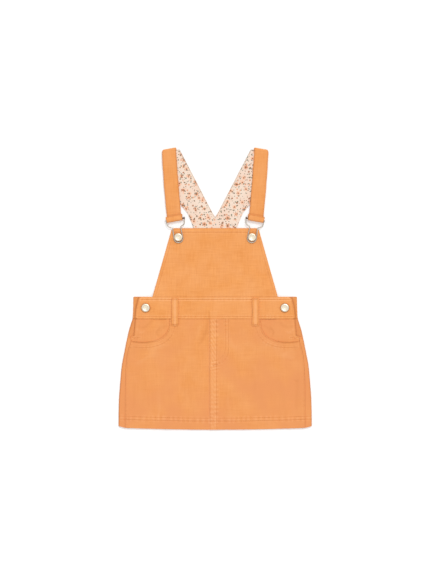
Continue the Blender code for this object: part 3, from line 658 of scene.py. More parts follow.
def printed_cotton(name, flowers):
    """Plain-woven cotton, screen-printed with small scattered flowers, leaves and dots on cream."""
    material, tree, shader = new_material(name)
    where = add_node(tree, "TexCoord").outputs["Object"]
    wobble = add_node(tree, "TexNoise", {"Vector": where, "Scale": 300.0, "Detail": 1.0})
    ground = add_node(tree, "TexNoise", {"Vector": where, "Scale": 22.0, "Detail": 2.0})
    tint = add_node(tree, "MapRange", {"Value": ground.outputs["Fac"], "From Min": 0.42, "From Max": 0.62})
    colour = add_node(tree, "Mix", {"Factor": tint.outputs["Result"], "A": linear(flowers.ground),
                                   "B": linear(flowers.blush)}, data_type="RGBA").outputs["Result"]

    def motif(under, cell, seed, share, petals, girth, long, inks):
        """Lay one motif a cell over a colour: petals round a centre, or a leaf when petals is 0."""
        at = add_node(tree, "Mapping", {"Vector": where, "Location": (seed, seed * 0.7, 0.0),
                                       "Scale": (1.0 / (cell * MM), 1.0 / (cell * MM), 0.0)})
        cells = add_node(tree, "TexVoronoi", {"Vector": at.outputs["Vector"], "Scale": 1.0,
                                             "Randomness": 0.85}, voronoi_dimensions="2D")
        local = add_node(tree, "VectorMath", {0: at.outputs["Vector"], 1: cells.outputs["Position"]},
                         operation="SUBTRACT")
        dice = add_node(tree, "SeparateColor", {"Color": cells.outputs["Color"]})
        spin = add_node(tree, "Math", {0: dice.outputs["Red"], 1: 6.283}, operation="MULTIPLY")
        turned = add_node(tree, "VectorRotate", {"Vector": local.outputs["Vector"],
                                                "Angle": spin.outputs[0]}, rotation_type="Z_AXIS")
        axes = add_node(tree, "SeparateXYZ", {"Vector": turned.outputs["Vector"]})
        wide = add_node(tree, "Math", {0: axes.outputs["Y"], 1: long}, operation="MULTIPLY")
        flat = add_node(tree, "CombineXYZ", {"X": axes.outputs["X"], "Y": wide.outputs[0]})
        reach = add_node(tree, "VectorMath", {0: flat.outputs["Vector"]}, operation="LENGTH")
        angle = add_node(tree, "Math", {0: wide.outputs[0], 1: axes.outputs["X"]}, operation="ARCTAN2")
        turns = add_node(tree, "Math", {0: angle.outputs[0], 1: float(petals)}, operation="MULTIPLY")
        lobes = add_node(tree, "Math", {0: turns.outputs[0]}, operation="COSINE")
        edge = add_node(tree, "Math", {0: lobes.outputs[0], 1: girth * (0.16 if petals else 0.0),
                                      2: girth}, operation="MULTIPLY_ADD")
        rough = add_node(tree, "Math", {0: wobble.outputs["Fac"], 1: girth * 0.5, 2: edge.outputs[0]},
                         operation="MULTIPLY_ADD")
        inside = add_node(tree, "Math", {0: rough.outputs[0], 1: reach.outputs["Value"]},
                          operation="SUBTRACT")
        soft = add_node(tree, "MapRange", {"Value": inside.outputs[0], "From Min": girth * 0.15,
                                          "From Max": girth * 0.4})
        here = add_node(tree, "Math", {0: dice.outputs["Green"], 1: share}, operation="LESS_THAN")
        mask = add_node(tree, "Math", {0: soft.outputs["Result"], 1: here.outputs[0]},
                        operation="MULTIPLY")
        ink = add_node(tree, "ValToRGB", {"Fac": dice.outputs["Blue"]})
        ink.color_ramp.interpolation = "CONSTANT"
        while len(ink.color_ramp.elements) < len(inks):
            ink.color_ramp.elements.new(0.5)
        for index, code in enumerate(inks):
            ink.color_ramp.elements[index].position = index / len(inks)
            ink.color_ramp.elements[index].color = linear(code)
        printed = add_node(tree, "Mix", {"Factor": mask.outputs[0], "A": under,
                                        "B": ink.outputs["Color"]}, data_type="RGBA")
        return printed.outputs["Result"]

    coral, rust, peach = flowers.coral, flowers.rust, flowers.peach
    leaf, bark, slate = flowers.leaf, flowers.bark, flowers.slate
    colour = motif(colour, 14.0, 1.7, 0.80, 5, 0.26, 1.0, (peach, coral, peach, peach))
    colour = motif(colour, 14.0, 1.7, 0.80, 0, 0.11, 1.2, (rust, bark, rust, rust))
    colour = motif(colour, 7.4, 5.3, 0.50, 5, 0.21, 1.0, (coral, peach, coral, rust))
    colour = motif(colour, 8.0, 3.1, 0.65, 0, 0.19, 1.5, (leaf, bark, slate, leaf))
    colour = motif(colour, 5.6, 9.2, 0.66, 0, 0.19, 1.6, (bark, leaf, bark, slate))
    colour = motif(colour, 4.1, 7.9, 0.42, 0, 0.16, 1.2, (rust, leaf, coral, slate))
    # Painted shade: the lining's rims are darkened towards the edge colour, by the tone
    tone = add_node(tree, "Attribute", attribute_name="tone")
    rim = add_node(tree, "MapRange", {"Value": tone.outputs["Fac"], "From Min": -0.05, "From Max": -0.6,
                                     "To Max": 0.75})
    colour = add_node(tree, "Mix", {"Factor": rim.outputs["Result"], "A": colour,
                                   "B": linear(flowers.edge)}, data_type="RGBA").outputs["Result"]
    threads = add_node(tree, "TexWave", {"Vector": where, "Scale": bands(0.7),
                                        "Distortion": 1.0}, bands_direction="X")
    bump = add_node(tree, "Bump", {"Height": threads.outputs["Fac"], "Strength": 0.3, "Distance": 0.0001})
    tree.links.new(colour, shader.inputs["Base Color"])
    tree.links.new(bump.outputs["Normal"], shader.inputs["Normal"])
    shader.inputs["Roughness"].default_value = 0.85
    shader.inputs["IOR"].default_value = 1.46
    shader.inputs["Specular IOR Level"].default_value = 0.25
    return material


def plated_metal(name, code, roughness, scratch):
    """Plated steel or brass, or steel coloured dark brown as painted shade: a sheen that faint scratches and
    a few dull spots break up.
    """
    material, tree, shader = new_material(name)
    where = add_node(tree, "TexCoord").outputs["Object"]
    dull = add_node(tree, "TexNoise", {"Vector": where, "Scale": 220.0, "Detail": 3.0})
    gloss = add_node(tree, "MapRange", {"Value": dull.outputs["Fac"], "From Min": 0.35, "From Max": 0.7,
                                       "To Min": roughness, "To Max": roughness + 0.18})
    lines = add_node(tree, "TexNoise", {"Vector": where, "Scale": scratch, "Detail": 2.0})
    bump = add_node(tree, "Bump", {"Height": lines.outputs["Fac"], "Strength": 0.12, "Distance": 0.00005})
    shader.inputs["Base Color"].default_value = linear(code)
    shader.inputs["Metallic"].default_value = 1.0
    tree.links.new(gloss.outputs["Result"], shader.inputs["Roughness"])
    tree.links.new(bump.outputs["Normal"], shader.inputs["Normal"])
    return material


# ---------------------------------------------------------------- settings


class ClothSettings(bpy.types.PropertyGroup):
    """The orange cloth."""

    colour: StringProperty(name="Colour", description="Brushed twill, sRGB hex", default="#EFA25C")
    # Worn: random pale blotches of the nap, and also the painted highlight colour of ridges and raised parts
    pale: StringProperty(name="Worn", description="Where the nap is worn pale, sRGB hex", default="#F9BB86")
    shade: StringProperty(name="Shade", description="Between the yarns, sRGB hex", default="#DA8A47")
    # Drift: the skirt's cloth is mixed towards this colour in slow patches, and more so further from the
    # waist
    warm: StringProperty(name="Drift", description="Slow drift of the dye, sRGB hex", default="#E2935A")
    # Crease: the painted shade colour towards which grooves, creases and rims are darkened
    crease: StringProperty(name="Crease", description="In creases and seams, sRGB hex", default="#C2743A")
    rib: FloatProperty(name="Rib", description="Spacing of the ribs, mm", default=1.1, min=0.2, max=4.0)


class ThreadSettings(bpy.types.PropertyGroup):
    """The topstitching."""

    colour: StringProperty(name="Colour", description="Thread, sRGB hex", default="#EFA663")
    shade: StringProperty(name="Shade", description="Between the plies, sRGB hex", default="#D98B48")
    radius: FloatProperty(name="Radius", description="Of the thread, mm", default=0.28, min=0.1, max=1.0)
    length: FloatProperty(name="Stitch", description="Length of a stitch, mm", default=2.9, min=1.0, max=8.0)
    gap: FloatProperty(name="Gap", description="Gap between stitches, mm", default=0.7, min=0.1, max=3.0)


class PrintSettings(bpy.types.PropertyGroup):
    """The printed lining."""

    ground: StringProperty(name="Ground", description="Cream ground, sRGB hex", default="#EBD6C4")
    blush: StringProperty(name="Blush", description="Patches of the ground, sRGB hex", default="#EACDB9")
    coral: StringProperty(name="Coral", description="Flower ink, sRGB hex", default="#E2A482")
    rust: StringProperty(name="Rust", description="Dark flower ink, sRGB hex", default="#AA6E4E")
    peach: StringProperty(name="Peach", description="Pale flower ink, sRGB hex", default="#EFC1A4")
    leaf: StringProperty(name="Leaf", description="Leaf ink, sRGB hex", default="#80806A")
    bark: StringProperty(name="Bark", description="Brown ink, sRGB hex", default="#7C5F44")
    slate: StringProperty(name="Slate", description="Grey-blue ink, sRGB hex", default="#868880")
    # Edge: the painted shade colour of the lining's rims
    edge: StringProperty(name="Edge", description="Soiled turned edge, sRGB hex", default="#A8937C")


class MetalSettings(bpy.types.PropertyGroup):
    """The buckles and buttons."""

    wire: StringProperty(name="Wire", description="Plated wire, sRGB hex", default="#C6BFB3")
    # Bar: the dark brown painted shade colour of the buckle bars and inner eyes
    bar: StringProperty(name="Bar", description="Browned steel rod, sRGB hex", default="#6E4E36")
    button: StringProperty(name="Button", description="Plated cap, sRGB hex", default="#E2D6C0")
    sides: IntProperty(name="Sides", description="Sides of the round work", default=16, min=8, max=48)


class StageSettings(bpy.types.PropertyGroup):
    """Floor, light and camera."""

    floor: StringProperty(name="Floor", description="Floor, sRGB hex", default="#F4F4F4")
    glow: FloatProperty(name="Glow", description="Light up through the floor", default=0.11, min=0.0)
    zenith: FloatProperty(name="Overhead", description="Light from straight above", default=1.1)
    horizon: FloatProperty(name="Horizon", description="Light from the sides", default=0.35)
    key: FloatProperty(name="Key", description="Strength of the soft lamp, W/m2", default=1.1, min=0.0)
    key_from: FloatVectorProperty(name="Key from", description="Way to the lamp", default=(0.35, 0.8, 1.3))
    height: FloatProperty(name="Camera height", description="Above the floor", default=4.0, unit="LENGTH")


class SkirtSettings(bpy.types.PropertyGroup):
    """All that a user would change."""

    cloth: PointerProperty(type=ClothSettings)
    thread: PointerProperty(type=ThreadSettings)
    lining: PointerProperty(type=PrintSettings)
    metal: PointerProperty(type=MetalSettings)
    stage: PointerProperty(type=StageSettings)


def look():
    """The scene's settings."""
    return bpy.context.scene.overall_skirt


def material_named(name, make, *settings):
    """The material of that name, made from its settings when it is first asked for."""
    return bpy.data.materials.get(name) or make(name, *settings)


def twill(shift=0.0):
    """The orange cloth of an outer piece; the skirt's is shifted a little towards the warm colour."""
    name = "cotton_twill_brushed_skirt" if shift else "cotton_twill_brushed"
    return material_named(name, brushed_twill, look().cloth, shift)


def stitching():
    """The topstitching thread."""
    return material_named("polyester_thread_twisted", sewing_thread, look().thread)


def stitch(name, runs):
    """Topstitching in the thread of the settings."""
    thread = look().thread
    return thread_tubes(name, runs, stitching(), "twill", thread.radius, thread.length, thread.gap)


# ---------------------------------------------------------------- skirt front


def mouth_line():
    """The pocket mouth as a smooth line, right-hand side."""
    return smooth_line(MOUTH_POINTS)


def fly_rows():
    """The two rows of the mock fly's J, beside the centre front."""
    outer = [(23.3, -53.0), (23.5, -100.0), (22.8, -112.0), (19.0, -121.5), (10.5, -128.5), (-6.0, -132.5)]
    inner = [(18.0, -53.0), (18.2, -98.0), (17.4, -108.5), (13.8, -116.5), (7.0, -122.5), (-6.0, -126.5)]
    return [Row(smooth_line(outer, 2.0), 0.22, 0.16, 6.5, 3.0, 1.1),
            Row(smooth_line(inner, 2.0), 0.22, 0.18, 6.0, 3.0, 2.7)]


def front_rows(side):
    """Rows of stitching on one half of the skirt front."""
    mouth = mouth_line()
    low = np.linspace(SEAM_HEAD - 6.0, HEM_CENTRE + 8.0, 60)
    across = np.linspace(1.0 - LAP_EDGE if side > 0 else LAP_EDGE + 0.5, 156.0, 60)
    rows = [
        Row(shifted(mouth, -2.2)[2:-1], 0.30, 0.06, 6.0, 3.0, 0.7),
        Row(shifted(mouth, -9.6)[4:-4], 0.32, 0.10, 6.5, 3.5, 1.9),
        row_through(seam(low) - 2.4, low, 0.15, 0.08, 9.0, 5.0, 3.1),
    ]
    rows += [row_through(across, hem(across) + up, 0.40, 0.14, 9.5, 5.0, 4.3 + up) for up in HEM_ROWS]
    if side > 0:
        down = np.linspace(WAIST_FOOT - 1.0, HEM_CENTRE + 1.5, 80)
        rows.append(row_through(LAP_STITCH, down, 0.30, 0.22, 8.0, 4.5, 0.4))
        rows.append(row_through(2.0 - LAP_EDGE, down, 0.22, 0.16, 7.2, 4.0, 2.2))
        rows += fly_rows()
    return rows


def front_lap(side, half):
    """How far a panel is raised at the centre front: only the right-hand one, which laps over the other."""
    return LAP_RISE * ease(14.0, UNDERLAP + 1.0, half) if side > 0 else 0.0 * half


def front_lift(side):
    """Ridges, creases and puckers of one half of the skirt front."""

    def lift(x, y):
        calm = ease(seam(y), seam(y) - 22.0, np.abs(x))
        hem_wave = 0.35 * ease(HEM_CENTRE + 42.0, HEM_CENTRE + 6.0, y) * unrest(x, y, 13.0, 2.3 + side)
        slow = 0.16 * unrest(x, y, 19.0, 0.9 + side) * ease(WAIST_FOOT, WAIST_FOOT - 30.0, y)
        return (ridges(x, y) + creases(x, y, FRONT_CREASES) + hem_wave + slow) * calm

    return lift


def knot(half, y):
    """Slanted puckers where the rows of the mock fly meet the lap."""
    near = np.exp(-((half - KNOT[0]) / KNOT_REACH) ** 2 - ((y - KNOT[1]) / KNOT_REACH) ** 2)
    return near * np.sin(2 * np.pi * (y - 0.2 * half + 2.1) / KNOT_PITCH)


def rope(half, y):
    """The slanted roping of the lap between its rows of stitching, from -1 to 1."""
    return np.sin(2 * np.pi * (y * ROPE_UP + half * ROPE_ACROSS) / ROPE_PITCH + 0.9 * np.sin(y * 0.09))


def front_relief(side):
    """Hem, lap and seam allowances that show through the upper side of one half of the skirt front."""
    rows = front_rows(side)
    mouth = mouth_line()

    def relief(x, y):
        half = side * x
        above_hem = y - hem(half)
        fold = 0.40 * ease(HEM_ROWS[1] + 2.0, HEM_ROWS[1] + 0.6, above_hem)
        allowance = 0.35 * ease(11.0, 9.4, seam(y) - half) * ease(SEAM_HEAD, SEAM_HEAD - 6.0, y)
        _, from_mouth = nearest(mouth, half, y)
        turned = 0.35 * ease(12.0, 10.4, from_mouth) * ease(70.0, 76.0, half)
        lap = 0.0 * x
        if side > 0:
            uneven = rope(half, y) * (0.7 + 0.3 * np.sin(y * 0.041 + 1.0))
            inside = ease(-LAP_EDGE, -LAP_EDGE + 2.5, half) * ease(LAP_STITCH + 1.5, LAP_STITCH - 1.0, half)
            inside = inside * mix(0.5, 1.0, ease(-150.0, -108.0, y))
            lap = 0.26 * uneven * inside + 0.40 * knot(half, y)
        return fold + allowance + turned + lap + sewn(half, y, rows)

    return relief


def front_tone(side):
    """Painted shade and highlight on one half of the skirt front, along its stitching, creases, lap and the
    puckers at the fly's foot.
    """
    rows = front_rows(side)

    def tone(x, y):
        half = side * x
        lap = 0.0 * x
        # Painted highlight on the raised lap, roped like its relief, and painted shade and highlight on the
        # puckers at the fly's foot
        if side > 0:
            faded = rope(half, y) * mix(0.4, 1.0, ease(-150.0, -108.0, y))
            lap = ((0.16 + 0.14 * faded) * ease(-LAP_EDGE, 2.8 - LAP_EDGE, half)
                   * ease(LAP_STITCH, LAP_STITCH - 2.0, half))
            lap = lap + 0.34 * knot(half, y)
        else:
            # Painted light: a pale strip beside the lap's edge that lightens the shade the lap casts there
            lap = 0.30 * hump(half - LAP_EDGE - 0.3, 0.9)
        # Creases get painted shade in their troughs and painted highlight on their ridges
        return lap + row_shade_and_highlight(half, y, rows) + 0.35 * creases(x, y, FRONT_CREASES)

    return tone


def front_rim(x, y):
    """How far in the rounding of a skirt front's edges goes: further along the pocket mouth."""
    _, from_mouth = nearest(mouth_line(), np.abs(x), y)
    return mix(TWILL / 2, SEWN_RIM, ease(1.0, 3.0, from_mouth))


def front_edge_shade(x, y):
    """How much painted shade darkens the edges of a skirt front: most at the outer end of the pocket mouth.
    """
    half = np.abs(x)
    _, from_mouth = nearest(mouth_line(), half, y)
    gape = mix(0.15, 1.0, ease(96.0, 122.0, half) * ease(147.0, 141.0, half))
    sewn_in = 0.17 * ease(140.0, 150.0, half) + 0.35 * ease(WAIST_FOOT - 3.0, WAIST_FOOT - 1.0, y)
    return 0.05 + sewn_in + gape * ease(4.0, 2.0, from_mouth)


def front_place(side):
    """Middle surface of one half of the skirt front."""
    inner = LAP_EDGE if side > 0 else UNDERLAP
    mouth = mouth_line()
    foot_end = seam(HEM_CENTRE) - SEAM / 2

    def place(u, v):
        beyond = np.clip((u - 0.5) / 0.5, 0.0, 1.0)
        mouth_x, mouth_y = line_along(mouth, beyond)
        head_x = np.where(u <= 0.5, mix(-inner, MOUTH_POINTS[0][0], u / 0.5), mouth_x)
        head_y = np.where(u <= 0.5, MOUTH_POINTS[0][1], mouth_y)
        even = (head_x + inner) / (MOUTH_POINTS[-1][0] + inner)
        foot_x = mix(-inner, foot_end, mix(even, u, 0.4))
        half = mix(foot_x, head_x, v)
        y = mix(hem(np.abs(foot_x)), head_y, v)
        half = half + (seam(y) - mix(foot_end, MOUTH_POINTS[-1][0], v)) * u ** 6
        return side * half, y, panel_base(np.abs(half), y) + front_lap(side, half)

    return place


def front_top(side):
    """Height of the upper side of one half of the skirt front."""
    lift, relief = front_lift(side), front_relief(side)

    def top(x, y):
        half = side * x
        return panel_base(np.abs(half), y) + front_lap(side, half) + lift(x, y) + relief(x, y) + TWILL / 2

    return top


class OVERALL_OT_skirt_front(bpy.types.Operator):
    """Make both halves of the skirt front with their stitching"""

    bl_idname = "overall.skirt_front"
    bl_label = "Skirt front"

    def execute(self, context):
        for side, hand in SIDES:
            u = lines_for(182.0, 1.5, ((0.0, 15.0, 0.7), (26.0, 37.0, 0.6), (175.0, 182.0, 0.8)))
            v = lines_for(176.0, 1.5, ((12.0, 24.5, 0.5), (163.0, 176.0, 0.8)))
            panel = lay_cloth("skirt_front_" + hand, u, v, front_place(side), TWILL, twill(DEEPER), "twill",
                              ["front_skirt_" + hand], front_lift(side), front_relief(side), front_tone(side),
                              front_rim, front_edge_shade, side)
            top = front_top(side)
            extras = [stitch("skirt_front_stitches_" + hand, runs_on(front_rows(side), top, side))]
            if side > 0:
                extras.append(stitch("fly_bartack", bartack(1.0, -132.6, 9.0, 1.5, 1.76, top)))
        return {"FINISHED"}


# ---------------------------------------------------------------- pocket facings


def facing_edge(level):
    """Half width of the facing's outer edge: along the side opening, then in to the side seam."""
    edge = mix(BAND_EDGE_FOOT, OPENING_EDGE_FOOT, ease(WAIST_FOOT, OPENING_FOOT, level))
    to_seam = ease(OPENING_FOOT + 4.0, OPENING_FOOT + 1.0, level)
    return mix(edge, seam(np.minimum(level, SEAM_HEAD)) - 0.1, to_seam)


def facing_rows():
    """Rows of stitching on the right-hand facing: along the side opening."""
    level = np.linspace(WAIST_FOOT - 1.0, OPENING_FOOT + 0.5, 20)
    across = np.linspace(131.5, 146.0, 8)
    return [row_through(facing_edge(level) - 2.2, level, 0.25, 0.08, 7.0, 3.0, 1.3),
            row_through(facing_edge(level) - 8.0, level, 0.15, 0.06, 7.0, 3.0, 2.3),
            row_through(across, OPENING_FOOT, 0.45, 0.05, 7.0, 3.0, 0.3)]


def facing_mid(half, y):
    """Middle height of a facing, close under the skirt front."""
    return panel_base(half, y) - TWILL - SEAM + 0.05


class OVERALL_OT_pocket_facings(bpy.types.Operator):
    """Make the facings that fill the pocket mouths"""

    bl_idname = "overall.pocket_facings"
    bl_label = "Pocket facings"

    def execute(self, context):
        head = WAIST_FOOT + TUCK
        rows = facing_rows()

        def relief(x, y):
            half = np.abs(x)
            turned = 0.30 * ease(10.5, 9.0, facing_edge(y) - half) * ease(-88.0, -84.0, y)
            return (turned + creases(half, y, FACING_CREASES) + sewn(half, y, rows)
                    + 0.10 * unrest(x, y, 9.0, 4.0))

        # Painted shade and highlight along the facing's stitching and creases
        def tone(x, y):
            half = np.abs(x)
            return row_shade_and_highlight(half, y, rows) + creases(half, y, FACING_CREASES)

        # Painted shade along the facing's outer edge by the side opening, where the front waistband's edge
        # gapes
        def facing_shade(x, y):
            return 1.1 * ease(132.0, 139.0, np.abs(x)) * ease(OPENING_FOOT + 1.0, OPENING_FOOT + 5.0, y)

        for side, hand in SIDES:

            def place(u, v, side=side):
                level = mix(FACING_FOOT, head, v)
                half = mix(FACING_INNER, facing_edge(level), u)
                foot = mix(FACING_INNER_FOOT, FACING_FOOT, ease(FACING_INNER, 110.0, half))
                y = mix(foot, head, v)
                return side * half, y, facing_mid(half, y)

            def top(x, y, side=side):
                half = side * x
                return (facing_mid(half, y) + TWILL / 2 + creases(half, y, FACING_CREASES)
                        + sewn(half, y, rows))

            piece = lay_cloth("pocket_facing_panel_" + hand, lines_for(75.0, 1.0, ((69.0, 75.0, 0.6),)),
                              lines_for(51.0, 1.0), place, TWILL, twill(DEEPER), "twill",
                              ["pocket_facing_" + hand], relief=relief, tone=tone, edge_shade=facing_shade,
                              way=side)
            threads = stitch("pocket_facing_stitches_" + hand, runs_on(rows, top, side))
            tacks = stitch("side_opening_bartack_" + hand, bartack(side * 139.0, -87.0, 5.0, 1.4, 1.5, top))
        return {"FINISHED"}


# ---------------------------------------------------------------- waistband, loops and bib


def band_rows():
    """Rows of stitching on the front waistband."""
    across = np.linspace(-131.0, 131.0, 120)
    end = np.linspace(WAIST_FOOT + 1.5, WAIST_TOP - 1.5, 12)
    edge = band_edge(end) - 2.4
    return [
        row_through(across, WAIST_TOP - 4.7, 0.42, 0.12, 7.5, 3.5, 0.3),
        row_through(across * 1.04, WAIST_FOOT + 4.0, 0.42, 0.14, 7.0, 3.5, 1.4),
        row_through(edge, end, 0.20, 0.05, 6.0, 2.5, 2.0),
        row_through(-edge, end, 0.20, 0.05, 6.0, 2.5, 2.5),
    ]


def over_lap(x, y):
    """1 where the front waistband lies over the thick top of the skirt's lap, 0 beside it."""
    up = ease(WAIST_FOOT + LAP_GONE, WAIST_FOOT + LAP_FADES, y)
    return up * ease(-LAP_EDGE - 1.0, -LAP_EDGE + 1.0, x) * ease(5.5, 1.5, x)


def band_relief(x, y):
    """Puckers and gentle waves of the front waistband's upper side."""
    pulled = 0.25 * hump(np.abs(x) - SIDE_BUTTON[0], 14.0) * np.sin((y - SIDE_BUTTON[1]) / 5.0)
    rib = 0.20 * ease(5.6, 4.6, WAIST_TOP - y) + 0.20 * ease(5.6, 4.6, y - WAIST_FOOT)
    flattened = 1.0 - 0.7 * over_lap(x, y)
    return (rib + pulled + 0.45 * over_lap(x, y) + 0.12 * unrest(x, y, 11.0, 5.0)
            + flattened * sewn(x, y, band_rows()))


def band_tone(x, y):
    """Painted shade and highlight along the front waistband's stitching, painted highlight over the lap's
    top, and painted shade beside the lap's step and round the side buttons.
    """
    # Painted shadow in a ring round each side button's cap
    beyond_cap = np.hypot(np.abs(x) - SIDE_BUTTON[0], y - SIDE_BUTTON[1]) - SIDE_CAP
    # Painted shade beside the step of the lap under the waistband
    step = hump(x + LAP_EDGE + 0.9, 1.3) * ease(WAIST_FOOT + 16.0, WAIST_FOOT + 12.0, y)
    painted_light = row_shade_and_highlight(x, y, band_rows(), mix(0.45, 1.0, ease(WAIST_FOOT, WAIST_TOP, y)))
    return (painted_light * (1.0 - 0.7 * over_lap(x, y)) + 0.12 * over_lap(x, y) - 0.32 * step
            - 0.5 * hump(beyond_cap - 0.4, 0.9))


def band_rim(x, y):
    """How far in the rounding of the front waistband's edges goes: further at its free ends."""
    return mix(SEWN_RIM, BAND / 2, ease(5.0, 2.0, band_edge(y) - np.abs(x)))


def band_shade(x, y):
    """How much painted shade darkens the edges of the front waistband: most at its free ends, where it gapes.
    """
    return 0.05 + 1.2 * ease(5.0, 2.0, band_edge(y) - np.abs(x))


def band_top(x, y):
    """Height of the upper side of the front waistband."""
    return band_mid(np.abs(x)) + BAND / 2 + band_relief(x, y)


class OVERALL_OT_waistband(bpy.types.Operator):
    """Make the front waistband with its buttonholes"""

    bl_idname = "overall.waistband"
    bl_label = "Front waistband"

    def execute(self, context):
        def place(u, v):
            y = mix(WAIST_FOOT, WAIST_TOP, v)
            side, share = np.sign(2.0 * u - 1.0), np.abs(2.0 * u - 1.0)
            across, along = rounded_off(band_edge(y) * (1.0 - share), WAIST_TOP - y, 2.5)
            half = band_edge(y) - across
            return side * half, WAIST_TOP - along, band_mid(half)

        band = lay_cloth("waistband_front_panel", lines_for(270.0, 1.3), lines_for(38.5, 0.6), place, BAND,
                         twill(), "twill", ["front_waistband"], relief=band_relief, tone=band_tone,
                         rim=band_rim, edge_shade=band_shade)
        threads = stitch("waistband_stitches", runs_on(band_rows(), band_top))
        holes = []
        for side, _ in SIDES:
            x, y = side * (SIDE_BUTTON[0] - 1.5), SIDE_BUTTON[1]
            for step in range(22):
                angle = 2 * np.pi * step / 22
                along, away = 8.6 * np.cos(angle), 2.9 * np.sin(angle)
                spoke = np.array([[x + along * 0.92, y + away * 0.55], [x + along, y + away],
                                  [x + along * 1.08, y + away * 1.35]])
                holes.append(on_top(spoke, band_top) + np.array([0.0, 0.0, 0.12]))
        buttonholes = stitch("buttonhole_stitches", holes)
        return {"FINISHED"}


class OVERALL_OT_belt_loops(bpy.types.Operator):
    """Make the two belt loops with their bartacks"""

    bl_idname = "overall.belt_loops"
    bl_label = "Belt loops"

    def execute(self, context):
        seat = BAND_MID + BAND / 2 + SEAM + LOOP_WALL / 2
        side_rows = [
            row_through(LOOP_CENTRE + off, (LOOP_FOOT + 1.0, LOOP_HEAD - 1.0), 0.25, 0.05, 6.0, 2.0, 1.0)
            for off in (-LOOP_STITCH, LOOP_STITCH)
        ]

        def bow(y):
            share = (y - LOOP_FOOT) / (LOOP_HEAD - LOOP_FOOT)
            return seat + 0.8 * np.sin(np.pi * np.clip(share, 0.0, 1.0)) ** 2

        def relief(x, y):
            half = np.abs(x)
            ends = 0.35 * ease(3.4, 2.0, LOOP_HEAD - y) + 0.35 * ease(3.4, 2.0, y - LOOP_FOOT)
            return sewn(half, y, side_rows) - ends + 0.1 * np.sin(y / 2.6 + half)

        # Painted shade and highlight along the loop's stitching, and a painted highlight down its middle
        def tone(x, y):
            half = np.abs(x)
            return row_shade_and_highlight(half, y, side_rows) + 0.32 * hump(half - LOOP_CENTRE, 2.4)

        for side, hand in SIDES:

            def place(u, v, side=side):
                y = mix(LOOP_FOOT, LOOP_HEAD, v)
                flare = 0.35 * np.cos(2 * np.pi * v) + 0.15 * np.sin(7.0 * v + side)
                return side * (LOOP_CENTRE + (2.0 * u - 1.0) * (LOOP_HALF + flare)), y, bow(y)

            def top(x, y):
                return bow(y) + LOOP_WALL / 2 + relief(x, y)

            loop = lay_cloth("belt_loop_strip_" + hand, lines_for(11.2, 0.55), lines_for(48.7, 0.8), place,
                             LOOP_WALL, twill(), "twill", ["belt_loop_" + hand], relief=relief, tone=tone,
                             edge_shade=0.15, way=side)
            runs = runs_on(side_rows, top, side)
            for level in (LOOP_HEAD - 2.0, LOOP_FOOT + 2.2):
                runs += bartack(side * LOOP_CENTRE, level, 9.6, 2.2, np.pi / 2, top)
            threads = stitch("belt_loop_stitches_" + hand, runs)
        return {"FINISHED"}


def bib_rows():
    """Rows of stitching on the bib: along its top and its sides."""
    across = np.linspace(-BIB_HALF_TOP + 3.0, BIB_HALF_TOP - 3.0, 70)
    up = np.linspace(WAIST_TOP + 1.5, BIB_TOP - 7.9, 60)
    return [
        row_through(across, BIB_TOP - 7.3, 0.42, 0.10, 7.0, 3.5, 0.8),
        row_through(bib_half(up) - 5.2, up, 0.30, 0.08, 7.5, 3.5, 1.8),
        row_through(5.2 - bib_half(up), up, 0.30, 0.08, 7.5, 3.5, 2.8),
    ]


def bib_relief(x, y):
    """Turned edges, puckers and creases of the bib's upper side."""
    half = np.abs(x)
    turned = 0.32 * ease(8.8, 7.6, BIB_TOP - y)
    sides = 0.25 * ease(7.6, 6.4, bib_half(y) - half)
    pulled = 0.30 * np.exp(-((half - BIB_BUTTON[0]) / 9.0) ** 2 - ((y - BIB_BUTTON[1]) / 11.0) ** 2)
    seat = -0.25 * np.exp(-((half - BIB_BUTTON[0]) / 4.5) ** 2 - ((y - BIB_BUTTON[1]) / 4.5) ** 2)
    return np.maximum(turned, sides) + pulled + seat + sewn(x, y, bib_rows())


def bib_tone(x, y):
    """Painted shade and highlight along the bib's stitching."""
    return row_shade_and_highlight(x, y, bib_rows())


def bib_rim(x, y):
    """How far in the rounding of the bib's edges goes: least where it is sewn to the waistband."""
    return mix(SEWN_RIM, BIB_WALL / 2, ease(WAIST_TOP + 1.0, WAIST_TOP + 3.0, y))


def bib_shade(x, y):
    """How much painted shade darkens the bib's edges: least where it is sewn to the waistband."""
    return 0.3 * ease(WAIST_TOP + 1.0, WAIST_TOP + 4.0, y)


def bib_lift(x, y):
    """Soft creases of the whole bib."""
    calm = ease(BIB_TOP, BIB_TOP - 14.0, y) * ease(WAIST_TOP, WAIST_TOP + 10.0, y)
    return (creases(x, y, BIB_CREASES) + 0.22 * unrest(x, y, 21.0, 1.5)) * calm


def bib_top(x, y):
    """Height of the upper side of the bib."""
    return bib_mid(np.abs(x), y) + BIB_WALL / 2 + bib_lift(x, y) + bib_relief(x, y)


class OVERALL_OT_bib(bpy.types.Operator):
    """Make the front bib"""

    bl_idname = "overall.bib"
    bl_label = "Front bib"

    def execute(self, context):
        def place(u, v):
            y = mix(WAIST_TOP, BIB_TOP, v)
            side, share = np.sign(2.0 * u - 1.0), np.abs(2.0 * u - 1.0)
            across, along = rounded_off(bib_half(y) * (1.0 - share), BIB_TOP - y, 4.0)
            half, y = bib_half(y) - across, BIB_TOP - along
            return side * half, y, bib_mid(half, y)

        bib = lay_cloth("bib_front_panel", lines_for(190.0, 1.3, ((0.0, 9.0, 0.7), (181.0, 190.0, 0.7))),
                        lines_for(120.0, 1.3, ((110.0, 120.0, 0.5),)), place, BIB_WALL, twill(), "twill",
                        ["front_bib"], bib_lift, bib_relief, bib_tone, bib_rim, bib_shade)
        threads = stitch("bib_stitches", runs_on(bib_rows(), bib_top))
        return {"FINISHED"}


# ---------------------------------------------------------------- back


